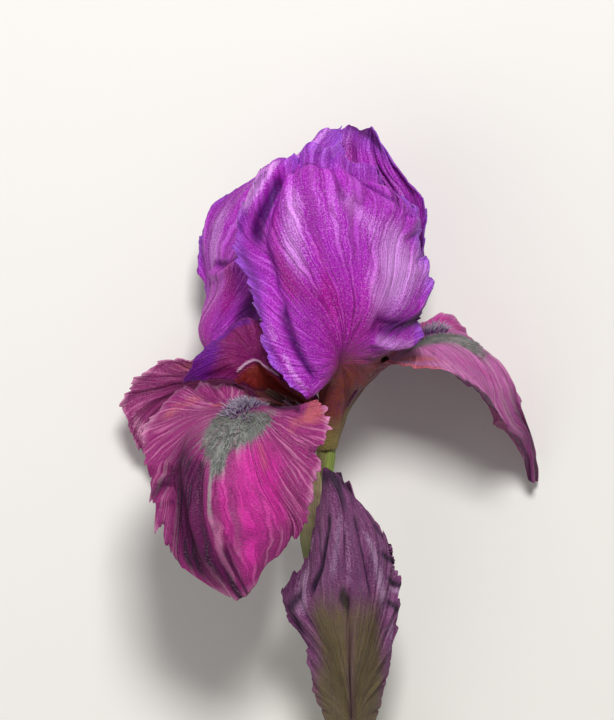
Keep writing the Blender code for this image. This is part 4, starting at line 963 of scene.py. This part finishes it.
def pollen_material(colours):
    """Anther dusted with pollen: a matt, grainy brown powder, darkened as painted shade under the style
    arm, on a pale violet filament.
    """
    finish, tree, shader = new_material("pollen dusted anther", 0.85)
    add = functools.partial(add_node, tree)
    filament, pollen, dust = tones(colours, "filament pollen pollen_dust")
    (_, anther, _), _, where = pattern_inputs(tree)
    grain = add("TexNoise", {"Vector": where["Object"], "Scale": 3000.0, "Detail": 2.0})
    dusted = add("MapRange", (grain, 0.30, 0.50, 0.35, 0.0))
    colour = filament
    for mask, over in ((anther, pollen), (dusted, dust)):
        colour = add("Mix", {0: mask, 6: colour, 7: over}, data_type="RGBA")
    bump = add("Bump", {"Strength": 0.8, "Distance": 0.0003, "Height": grain})
    fill_sockets(shader, {"Base Color": colour, "Normal": bump})
    return finish


def place_piece(name, mesh, finish, node):
    """Puts a finished mesh in the scene in place of a solid of the frame."""
    mesh.name = name
    thing = bpy.data.objects.new(name, mesh)
    bpy.context.scene.collection.objects.link(thing)
    mesh.materials.append(finish)
    mesh.shade_smooth()
    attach(thing, "root")
    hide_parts(node)
    return thing


@contextmanager
def mesh_work(mesh):
    """A bmesh of the mesh for one block of work, which goes back into the mesh after it."""
    bm = bmesh.new()
    bm.from_mesh(mesh)
    yield bm
    bm.to_mesh(mesh)
    bm.free()


def vertex_places(mesh):
    """Where a mesh's vertices are, one row each."""
    flat = np.zeros(len(mesh.vertices) * 3)
    mesh.vertices.foreach_get("co", flat)
    return flat.reshape(-1, 3)


def give_points(mesh, places, fan, zones):
    """Moves the vertices, and stores each one's place in the fan and its four colour zones."""
    mesh.vertices.foreach_set("co", np.ravel(places))
    mesh.attributes.new("fan", "FLOAT_VECTOR", "POINT").data.foreach_set("vector", np.ravel(fan))
    mesh.attributes.new("zones", "FLOAT_COLOR", "POINT").data.foreach_set("color", np.ravel(zones))
    mesh.update()


def share_as_fan(share):
    """A fan attribute that holds nothing but a share from 0 to 1."""
    return np.stack([share * 0, share, share * 0], axis=-1)


def sheet_mesh(points, fan, zones):
    """A grid of Blender's own, moved onto the given rows of points, with its vertices' rows and columns."""
    rows, columns = points.shape[:2]
    mesh = bpy.data.meshes.new("sheet")
    with mesh_work(mesh) as bm:
        bm.loops.layers.uv.new("UVMap")
        bmesh.ops.create_grid(bm, x_segments=columns - 1, y_segments=rows - 1, size=1.0, calc_uvs=True)
    places = vertex_places(mesh)
    column = np.rint((places[:, 0] + 1) / 2 * (columns - 1)).astype(int)
    row = np.rint((places[:, 1] + 1) / 2 * (rows - 1)).astype(int)
    give_points(mesh, to_world(points[row, column]), fan[row, column], zones[row, column])
    return mesh, row, column


def add_sheet(name, shape, thickness, finish, node, margin=1.0, underside=None):
    """A thin blade over the sheet of points, thinner at its margin, with its own underside if given."""
    points, fan, zones = shape
    mesh, row, column = sheet_mesh(points, fan, zones)
    thing = place_piece(name, mesh, underside or finish, node)
    inside = thing.vertex_groups.new(name="thickness")
    rim = (row == points.shape[0] - 1) | (column == 0) | (column == points.shape[1] - 1)
    inside.add(np.flatnonzero(~rim).tolist(), 1.0, "REPLACE")
    thickener = thing.modifiers.new("thickness", "SOLIDIFY")
    thickener.thickness = thickness
    thickener.offset = 0.0
    thickener.vertex_group = "thickness"
    thickener.thickness_vertex_group = margin
    if underside:
        mesh.materials.append(finish)
        thickener.material_offset = thickener.material_offset_rim = 1


def sweep(routes, sides):
    """One mesh of round tubes along given routes; each route point is x, y, z and a radius."""
    curve = bpy.data.curves.new("tubes", "CURVE")
    curve.dimensions = "3D"
    curve.bevel_depth = MM
    curve.bevel_resolution = sides
    curve.use_fill_caps = True
    for route in routes:
        route = np.asarray(route)
        spline = curve.splines.new("POLY")
        spline.points.add(len(route) - 1)
        places = np.ones((len(route), 4))
        places[:, :3] = to_world(route[:, :3])
        spline.points.foreach_set("co", places.ravel())
        spline.points.foreach_set("radius", np.ascontiguousarray(route[:, 3]))
    carrier = bpy.data.objects.new("tubes", curve)
    bpy.context.scene.collection.objects.link(carrier)
    evaluated = carrier.evaluated_get(bpy.context.evaluated_depsgraph_get())
    mesh = bpy.data.meshes.new_from_object(evaluated)
    bpy.data.objects.remove(carrier)
    bpy.data.curves.remove(curve)
    return mesh


def closed_sweep(routes, sides):
    """A sweep with its caps welded on and its faces outward."""
    mesh = sweep(routes, sides)
    with mesh_work(mesh) as bm:
        bmesh.ops.remove_doubles(bm, verts=bm.verts, dist=1e-7)
        bmesh.ops.recalc_face_normals(bm, faces=bm.faces)
    return mesh


def ribbed_tube(route, sides, ribs, seed, cut=False, shaded=0.0):
    """A tube with shallow ribs and dents along it.

    Its colour zones are a blush, the cut end and an olive top; shaded is how far the blush and
    the olive spread as painted shade over its left side, which leaves it lit green on its right.
    """
    route = np.asarray(route)
    mesh = closed_sweep([route], sides)
    places = vertex_places(mesh)
    centres = to_world(route[:, :3])
    nearest = np.argmin(np.linalg.norm(places[:, None] - centres[None], axis=-1), axis=1)
    size = route[nearest, 3]
    tangent = unit(np.gradient(centres, axis=0))[nearest]
    out = places - centres[nearest]
    out = out - tangent * np.sum(out * tangent, axis=1)[:, None]
    radius = np.linalg.norm(out, axis=1)
    level = unit(np.cross(tangent, (0.0, 0.0, 1.0)))
    front = np.cross(level, tangent)
    turn = np.arctan2(np.sum(out * front, axis=1), np.sum(out * level, axis=1))
    along = run_length(route[:, :3])[nearest]
    count, depth = ribs
    swell = depth * np.cos(count * turn) + 0.12 * wobble(turn * 2 + 20, along / 6, seed)
    skin = radius > size * MM * 0.7
    places = places + unit(out) * (np.where(skin, swell, 0.0) * MM)[:, None]
    places[:, 2] = np.maximum(places[:, 2], TABLE_GAP * MM)
    zones = np.zeros((len(places), 4))
    blush = 0.30 * wobble(turn * 3 + 20, along / 45, seed + 2)
    olive = (along - along.max() + OLIVE_REACH) / OLIVE_REACH
    # Painted shade: shaded spreads the blush and the olive over the tube's left side.
    zones[:, 0] = np.clip(blush + shaded * (0.3 - np.cos(turn)), 0, 1)
    zones[:, 2] = np.clip(olive + shaded * (0.6 - np.cos(turn)), 0, 1)
    if cut:
        zones[:, 1] = (nearest == len(route) - 1) & (radius < size * MM * 0.93)
    zones[:, 3] = 1.0
    give_points(mesh, places, np.stack([turn * size, along, along * 0], axis=-1), zones)
    return mesh


def bud_frame(share):
    """Centre of the bud at a share of its length, with its axis, right and front."""
    foot = np.array(BUD_FOOT)
    run = np.array(BUD_TIP) - foot
    axis = unit(run)
    right = unit(np.cross(axis, (0.0, 0.0, 1.0)))
    return foot + run * share, axis, right, np.cross(right, axis)


def bud_side_fall(sign):
    """A side fall of the bud: wraps from the side round the back, its back outward."""
    rows = []
    start, end = BUD_SIDE_SWEEP
    for share, radius in BUD_SIDE_PROFILE:
        centre, _, right, front = bud_frame(share)
        points = []
        for angle in (start, (start + end) / 2, end):
            turn = math.radians(angle)
            points.append(centre + radius * (sign * right * math.cos(turn) - front * math.sin(turn)))
        bow = radius * (1 - math.cos(math.radians((end - start) / 4))) * sign
        rows.append((*points, bow, bow))
    return dict(BUD_SIDE_FALL, rows=rows)


def bud_core_mesh():
    """The bud's three standards, rolled round each other into one pointed twisted cone."""
    sides, levels = 72, 120
    rings = []
    angles = np.linspace(0, 2 * math.pi, sides + 1)[:-1]
    for share, radius in BUD_CORE_PROFILE:
        centre, _, right, front = bud_frame(share)
        twist = 2 * math.pi * BUD_CORE_TURNS * share
        folds = 1 + 0.10 * np.sin(3 * (angles + twist)) + 0.05 * np.abs(np.sin(4.5 * (angles + twist)))
        rings.append([centre + radius * grow * (right * math.cos(a) + front * math.sin(a))
                      for a, grow in zip(angles, folds)])
    rings = smooth_route(rings, levels)
    mesh = bpy.data.meshes.new("core")
    with mesh_work(mesh) as bm:
        bmesh.ops.create_cone(bm, cap_ends=True, segments=sides, radius1=1.0, radius2=1.0, depth=2.0)
        uprights = [edge for edge in bm.edges if abs(edge.verts[0].co.z - edge.verts[1].co.z) > 1.0]
        bmesh.ops.subdivide_edges(bm, edges=uprights, cuts=levels - 2)
    places = vertex_places(mesh)
    level = np.rint((places[:, 2] + 1) / 2 * (levels - 1)).astype(int)
    full_turn = 2 * math.pi
    step = np.rint(np.arctan2(places[:, 0], places[:, 1]) % full_turn / full_turn * sides).astype(int)
    step = step % sides
    points = rings[level, step]
    share = level / (levels - 1)
    centre = np.array([bud_frame(s)[0] for s in share])
    wrinkle = 0.25 * wobble(step / 3 + 12 * share, share * 14, seed=71)
    points = points + unit(points - centre) * wrinkle[:, None]
    zones = np.zeros((len(points), 4))
    zones[:, 0] = np.clip((share - 0.7) * 3, 0, 1)
    zones[:, 3] = np.clip((0.35 - share) * 3, 0, 1)
    fan = np.stack([step / sides * 40 + share * 18, share * 0.9, step * 0.5], axis=-1)
    give_points(mesh, to_world(points), fan, zones)
    corners = np.zeros(len(mesh.loops), dtype=int)
    mesh.loops.foreach_get("vertex_index", corners)
    around_and_along = np.stack([step / sides, share], axis=-1)[corners]
    mesh.uv_layers.new(name="UVMap").data.foreach_set("uv", around_and_along.ravel())
    with mesh_work(mesh) as bm:
        bmesh.ops.recalc_face_normals(bm, faces=bm.faces)
    return mesh


def spathe_shape(spec, seed):
    """Points of a papery sheath leaf, wrapped part of the way round, ribbed and torn at its edge."""
    rows, columns = 70, 50
    route = smooth_route(spec["route"], rows)
    tangent = unit(np.gradient(route, axis=0))
    right = unit(np.cross(tangent, (0.0, 0.0, 1.0)))
    front = np.cross(right, tangent)
    radius, share = [smooth_route(np.array(spec[key])[:, None], rows) for key in ("radii", "taper")]
    across, along = np.meshgrid(np.linspace(-0.5, 0.5, columns), np.linspace(0, 1, rows))
    frayed = 1 - 0.10 * np.abs(wobble(along * 16, across * 0 + 3, seed)) * (np.abs(across) > 0.4)
    angles = math.radians(spec["turn"]) + math.radians(spec["sweep"]) * share * across * frayed
    out = right[:, None] * np.cos(angles)[..., None] + front[:, None] * np.sin(angles)[..., None]
    ribs = 0.12 * wobble(across * 26, along * 3, seed + 1)
    crumple = 0.5 * wobble(across * 9, along * 16, seed + 2) * along ** 2
    points = route[:, None] + out * (radius + ribs + crumple)[..., None]
    fan = np.stack([angles * 6.0, along, across * 12], axis=-1)
    return points, fan, np.zeros(points.shape[:2] + (4,))


def footing(fall, u, v):
    """Where hairs stand on a fall: their roots, with the ways up, ahead and aside from there."""
    spot = cage_points(fall["rows"], u, v)
    ahead = unit(cage_points(fall["rows"], u + 0.01, v) - spot)
    aside = unit(cage_points(fall["rows"], u, v + 0.01) - spot)
    up = -unit(np.cross(aside, ahead))
    return spot - up * solid_relief(fall, u, v)[:, None], up, ahead, aside


def bent_hair(root, rise, lean, lift, profile):
    """A hair's route: it starts lifted from its root, rises, bends over and thins as its profile says."""
    up, height = rise
    return [(*(root + up * (lift + height * share) + lean * share * share), radius)
            for share, radius in profile]


def hair_routes(fall, span, middle, count, seed, sizes):
    """Bent tapering hairs over the beard, standing up from the fall and combed to its tip."""
    rng = np.random.default_rng(seed)
    along = span[0] + (span[1] - span[0]) * rng.beta(1.6, 1.3, count)
    place = (along - span[0]) / (span[1] - span[0])
    across = np.clip(rng.normal(0, 0.5, count), -1, 1) * BEARD_HALF_WIDTH
    line = middle[0] + (middle[1] - middle[0]) * place
    root, up, ahead, aside = footing(fall, along, line + across)
    tall = sizes.hair / MM * (0.45 + 0.55 * np.sin(math.pi * np.clip(place, 0.08, 0.92)))
    tall = tall * rng.uniform(0.7, 1.1, count) * (1 - 0.45 * np.abs(across) / BEARD_HALF_WIDTH)
    lean = ahead * rng.normal(0.35, 0.3, count)[:, None]
    lean += aside * (across / BEARD_HALF_WIDTH * 0.9 + rng.normal(0, 0.22, count))[:, None]
    thick = sizes.hair_radius / MM
    profile = [(0.0, thick), (0.35, thick * 0.9), (0.7, thick * 0.7), (1.0, thick * 0.25)]
    return [bent_hair(root[k], (up[k], tall[k]), lean[k] * tall[k], 0.15, profile) for k in range(count)]


def patch_routes(fall, marks, count, seed, thick):
    """Short lying hairs of the velvet patch round the beard."""
    rng = np.random.default_rng(seed)
    u = rng.uniform(*PATCH_U, count * 6)
    v = rng.uniform(*PATCH_V, count * 6)
    keep = strokes(u, v, marks) > rng.uniform(0.35, 1.0, len(u))
    u = u[keep][:count]
    v = v[keep][:count]
    root, up, ahead, aside = footing(fall, u, v)
    profile = [(0.0, thick * 0.6), (0.5, thick * 0.5), (1.0, thick * 0.2)]
    routes = []
    for k in range(len(u)):
        lean = ahead[k] * rng.uniform(0.5, 1.0) + aside[k] * (v[k] - 0.05 + rng.normal(0, 0.25))
        size = rng.uniform(0.5, 1.2)
        routes.append(bent_hair(root[k], (up[k], 0.7 * size), lean * size, 0.2, profile))
    return routes


def hair_mesh(routes, pile):
    """One mesh of many four-sided hairs, with each vertex's share of the way to its hair's tip.

    The sweep puts the caps of all hairs first, two squares each, then their rings of four. The last
    of the routes, as many as pile says, are the velvet patch's own and take its tone.
    """
    mesh = sweep(routes, 0)
    caps = np.tile(np.repeat([1.0, 0.0], 4), len(routes))
    shares = [np.repeat(np.linspace(0, 1, len(route)), 4) for route in routes]
    shares = np.concatenate([caps] + shares)
    if len(shares) != len(mesh.vertices):
        raise RuntimeError("a hair has another number of vertices than its route gives")
    bristles = len(routes) - pile
    zones = np.zeros((len(shares), 4))
    zones[8 * bristles:8 * len(routes), 0] = 1.0
    zones[8 * len(routes) + 4 * sum(len(route) for route in routes[:bristles]):, 0] = 1.0
    give_points(mesh, vertex_places(mesh), share_as_fan(shares), zones)
    return mesh


def stamen_mesh(arm, fall, seed):
    """Filament and two-lobed anther in the space between a style arm and its fall."""
    foot = around_axis(2.8, RIM_UP + SEAT_GAP, 0, fall["azimuth"])
    past_foot = around_axis(3.8, 2.5, 0, fall["azimuth"])
    midline = np.zeros(4)
    upper = cage_points(arm["rows"], np.array([0.28, 0.50, 0.66, 0.68]), midline)
    lower = cage_points(fall["rows"], np.array([0.10, 0.20, 0.29, 0.30]), midline)
    way = upper * 0.40 + lower * 0.60
    route = [(*foot, 0.5), (*past_foot, 0.5), (*way[0], 0.5), (*way[1], 0.45)]
    run = unit(way[2] - way[1])
    side = unit(np.cross(run, (0.0, 0.0, 1.0)))
    lines = [smooth_route(route, 40)]
    for sign in (-1, 1):
        lobe = [(*(way[1] + run * out + side * sign * 0.5), radius) for out, radius in ANTHER_PROFILE]
        lines.append(smooth_route(lobe, 40))
    mesh = closed_sweep(lines, 3)
    places = vertex_places(mesh)
    reach = [np.min(np.linalg.norm(places[:, None] - to_world(line[:, :3])[None], axis=-1), axis=1)
             for line in lines]
    anther = (reach[0] > np.minimum(reach[1], reach[2])).astype(float)
    rng = np.random.default_rng(seed)
    places = places + rng.normal(0, 0.03 * MM, places.shape) * anther[:, None]
    give_points(mesh, places, share_as_fan(anther), np.zeros((len(anther), 4)))
    return mesh


def complete_tables():
    """Adds the claw rows to the petals and the foot rows to the style arms."""
    for petal in (*STANDARDS.values(), *FALLS.values()):
        petal["rows"].insert(0, claw_row(petal["azimuth"]))
    FRONT_ARM["rows"] = arm_rows(FRONT_ARM_FOOT, FRONT_ARM["azimuth"]) + FRONT_ARM["rows"]
    for arm in (RIGHT_ARM, BACK_ARM):
        arm["rows"] = arm_rows(arm["profile"], arm["azimuth"])


class IRIS_OT_standards(bpy.types.Operator):
    """Build the three upright petals with their veins, frills and folds"""
    bl_idname = "iris.standards"
    bl_label = "Standards"

    def execute(self, context):
        colours, sizes = context.scene.iris_colours, context.scene.iris_sizes
        finish = petal_material(
            "standard petal tissue", colours, "standard_", "base bright deep heart edge vein claw",
            roughness=0.42, edge_from=0.86, line_strength=0.75, foot_reach=0.08)
        for number, (place, petal) in enumerate(STANDARDS.items()):
            shape = fine_petal(petal, sizes, STANDARD_WAVES, seed=100 + 40 * number)
            add_sheet(place + "_standard_petal", shape, sizes.petal, finish,
                      place + "_standard", sizes.margin)
        return {"FINISHED"}


class IRIS_OT_falls(bpy.types.Operator):
    """Build the three falls with their velvet patches, coral hafts and toothed margins"""
    bl_idname = "iris.falls"
    bl_label = "Falls"

    def execute(self, context):
        colours, sizes = context.scene.iris_colours, context.scene.iris_sizes
        looks = dict(edge_from=0.94, line_strength=0.8)
        dusky = petal_material(
            "fall petal tissue", colours, "fall_", "base bright deep velvet edge vein haft",
            roughness=0.45, foot_reach=0.30, velvet=True, **looks)
        # The lit copy of the fall tissue: painted light for the fall that turns to the light.
        pale = petal_material(
            "lit fall petal tissue", colours, "fall_", "pale bright deep velvet edge vein haft",
            roughness=0.45, foot_reach=0.38, velvet=True, **looks)
        # The underside leaves out the painted shade of the deep strokes and paints its highlights in the
        # margin's pale pink.
        under = petal_material(
            "fall underside tissue", colours, "fall_", "base edge base base edge vein haft",
            roughness=0.5, foot_reach=0.30, **looks)
        for number, (place, petal) in enumerate(FALLS.items()):
            finish = pale if place == "right" else dusky
            shape = fine_petal(petal, sizes, FALL_WAVES, seed=300 + 40 * number, tear=1.3, claw_share=-1.0)
            add_sheet(place + "_fall_petal", shape, sizes.petal, finish,
                      place + "_fall", sizes.margin, under)
        return {"FINISHED"}


class IRIS_OT_style_arms(bpy.types.Operator):
    """Build the three style arms with their lips and crests"""
    bl_idname = "iris.style_arms"
    bl_label = "Style arms"

    def execute(self, context):
        colours, sizes = context.scene.iris_colours, context.scene.iris_sizes
        finish = petal_material(
            "style arm tissue", colours, "arm_", "base bright deep lip edge vein throat",
            roughness=0.4, edge_from=0.85, line_strength=0.6, foot_reach=0.02)
        for number, (place, arm) in enumerate(ARMS.items()):
            shape = fine_petal(arm, sizes, ARM_WAVES, seed=500 + 40 * number, tear=0.7)
            add_sheet(place + "_style_crest", shape, sizes.petal, finish,
                      place + "_style_arm", sizes.margin)
        return {"FINISHED"}


class IRIS_OT_beards(bpy.types.Operator):
    """Build the beards hair by hair, with the short pile of the velvet patches round them"""
    bl_idname = "iris.beards"
    bl_label = "Beards"

    def execute(self, context):
        sizes = context.scene.iris_sizes
        finish = hair_material(context.scene.iris_colours)
        for number, (place, (start, end, left, right, count)) in enumerate(BEARDS.items()):
            fall = FALLS[place]
            bristles = hair_routes(fall, (start, end), (left, right), count, 700 + number, sizes)
            pile = patch_routes(fall, fall["heart"], fall["pile"], 720 + number, sizes.hair_radius / MM)
            mesh = hair_mesh(bristles + pile, len(pile))
            place_piece(place + "_beard_hairs", mesh, finish, place + "_beard")
        return {"FINISHED"}


class IRIS_OT_stamens(bpy.types.Operator):
    """Build the three stamens under the style arms"""
    bl_idname = "iris.stamens"
    bl_label = "Stamens"

    def execute(self, context):
        finish = pollen_material(context.scene.iris_colours)
        for number, (place, arm) in enumerate(ARMS.items()):
            mesh = stamen_mesh(arm, FALLS[place], 740 + number)
            place_piece(place + "_anther_and_filament", mesh, finish, place + "_stamen")
        return {"FINISHED"}


class IRIS_OT_stem(bpy.types.Operator):
    """Build the perianth tube, the bud's tube and the cut stalk with its branch"""
    bl_idname = "iris.stem"
    bl_label = "Tubes and stalk"

    def execute(self, context):
        finish = green_material(context.scene.iris_colours)
        top = [(*around_axis(0, up, 0, 0), radius) for up, radius in TUBE_TOP]
        route = np.vstack([smooth_route(PERIANTH_TUBE, 70), top])
        # Painted shade darkens the perianth tube's left side with its blush and olive.
        tube = ribbed_tube(route, sides=14, ribs=TUBE_RIBS, seed=800, shaded=0.6)
        place_piece("perianth_tube_ribbed", tube, finish, "perianth_tube")

        centre, axis = bud_frame(0.0)[:2]
        top = [(*(centre - axis * down), radius) for down, radius in BUD_TUBE_TOP]
        route = np.vstack([smooth_route(BUD_TUBE, 60), top])
        tube = ribbed_tube(route, sides=14, ribs=TUBE_RIBS, seed=810)
        place_piece("bud_tube_ribbed", tube, finish, "bud_tube")

        stem = ribbed_tube(smooth_route(STALK, 180), sides=14, ribs=STALK_RIBS, seed=820, cut=True)
        branch = ribbed_tube(smooth_route(BRANCH, 40), sides=12, ribs=BRANCH_RIBS, seed=830)
        with mesh_work(stem) as bm:
            bm.from_mesh(branch)
        place_piece("stalk_with_branch", stem, finish, "stalk")
        return {"FINISHED"}


class IRIS_OT_spathes(bpy.types.Operator):
    """Build the papery spathes round the ovaries"""
    bl_idname = "iris.spathes"
    bl_label = "Spathes"

    def execute(self, context):
        sizes = context.scene.iris_sizes
        finish = paper_material(context.scene.iris_colours)
        for number, (node, spec) in enumerate(SPATHES.items()):
            shape = spathe_shape(spec, 850 + 10 * number)
            add_sheet(node + "_papery", shape, sizes.spathe, finish, node)
        return {"FINISHED"}


class IRIS_OT_bud(bpy.types.Operator):
    """Build the opening bud: three furled falls round the rolled standards"""
    bl_idname = "iris.bud"
    bl_label = "Bud"

    def execute(self, context):
        colours, sizes = context.scene.iris_colours, context.scene.iris_sizes
        finish = petal_material(
            "bud petal tissue", colours, "bud_", "base bright deep spot edge vein foot",
            roughness=0.5, edge_from=0.8, line_strength=0.8, foot_reach=0.10)
        petals = {"bud_front_fall": BUD_FRONT_FALL, "bud_left_fall": bud_side_fall(-1),
                  "bud_right_fall": bud_side_fall(1)}
        for number, (node, petal) in enumerate(petals.items()):
            shape = fine_petal(petal, sizes, BUD_WAVES, seed=900 + 40 * number, tear=0.8)
            add_sheet(node + "_petal", shape, sizes.petal, finish, node, sizes.margin)
        place_piece("bud_core_furled", bud_core_mesh(), finish, "bud_core")
        return {"FINISHED"}


class IRIS_OT_stage(bpy.types.Operator):
    """Lay the floor, hang the soft lights and set the camera straight above the bloom"""
    bl_idname = "iris.stage"
    bl_label = "Stage"

    def execute(self, context):
        scene = context.scene
        stage = scene.iris_stage
        mesh = bpy.data.meshes.new("floor")
        with mesh_work(mesh) as bm:
            bmesh.ops.create_grid(bm, x_segments=2, y_segments=2, size=stage.floor_size / 2)
        # Matt paint: an even pale ground with soft shadows and no gloss.
        mesh.materials.append(new_material("painted floor", 0.8, Base_Color=opaque(stage.floor))[0])
        floor = bpy.data.objects.new("floor", mesh)
        scene.collection.objects.link(floor)

        world = bpy.data.worlds.new("studio")
        world.use_nodes = True
        white = (1.0, 1.0, 1.0, 1.0)
        fill_sockets(world.node_tree.nodes["Background"], {"Color": white, "Strength": stage.sky})
        scene.world = world
        look = Vector(to_world(LIT_SPOT))
        for name, way, size, power in (("key", (0.06, 0.50, 1.0), 0.30, stage.key),
                                       ("fill", (-0.9, -0.4, 1.1), 1.2, stage.fill)):
            light = bpy.data.lights.new(name, "AREA")
            light.energy = power
            light.size = size
            lamp = bpy.data.objects.new(name, light)
            lamp.location = look + Vector(way).normalized() * LAMP_DISTANCE
            lamp.rotation_euler = (look - lamp.location).to_track_quat("-Z", "Y").to_euler()
            scene.collection.objects.link(lamp)

        lens = bpy.data.cameras.new("photo view")
        lens.sensor_fit = "AUTO"
        lens.sensor_width = SENSOR
        lens.lens = SENSOR * CAMERA_DISTANCE / PHOTO_HEIGHT
        lens.clip_end = 20.0
        camera = bpy.data.objects.new("photo view", lens)
        camera.location = to_world((*PHOTO_CENTRE, CAMERA_DISTANCE))
        scene.collection.objects.link(camera)
        scene.camera = camera
        scene.view_settings.view_transform = "Standard"
        return {"FINISHED"}


class IRIS_PT_panel(bpy.types.Panel):
    """Lists the iris's pieces in the sidebar of the 3D view"""
    bl_idname = "IRIS_PT_panel"
    bl_label = "Bearded iris"
    bl_space_type = "VIEW_3D"
    bl_region_type = "UI"
    bl_category = "Iris"

    def draw(self, context):
        for operator in OPERATORS:
            self.layout.operator(operator.bl_idname)
        for group in (context.scene.iris_colours, context.scene.iris_sizes, context.scene.iris_stage):
            box = self.layout.box()
            for name in group.__annotations__:
                box.prop(group, name)


OPERATORS = (IRIS_OT_standards, IRIS_OT_falls, IRIS_OT_style_arms, IRIS_OT_beards, IRIS_OT_stamens,
             IRIS_OT_stem, IRIS_OT_spathes, IRIS_OT_bud, IRIS_OT_stage)
CLASSES = (IrisColours, IrisSizes, IrisStage, *OPERATORS, IRIS_PT_panel)


def register():
    for each in CLASSES:
        bpy.utils.register_class(each)
    bpy.types.Scene.iris_colours = PointerProperty(type=IrisColours)
    bpy.types.Scene.iris_sizes = PointerProperty(type=IrisSizes)
    bpy.types.Scene.iris_stage = PointerProperty(type=IrisStage)


def unregister():
    del bpy.types.Scene.iris_stage
    del bpy.types.Scene.iris_sizes
    del bpy.types.Scene.iris_colours
    for each in reversed(CLASSES):
        bpy.utils.unregister_class(each)


def main():
    register()
    complete_tables()
    for build in (bpy.ops.iris.standards, bpy.ops.iris.falls, bpy.ops.iris.style_arms, bpy.ops.iris.beards,
                  bpy.ops.iris.stamens, bpy.ops.iris.stem, bpy.ops.iris.spathes, bpy.ops.iris.bud,
                  bpy.ops.iris.stage):
        build()
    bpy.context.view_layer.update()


if __name__ == "__main__":
    main()
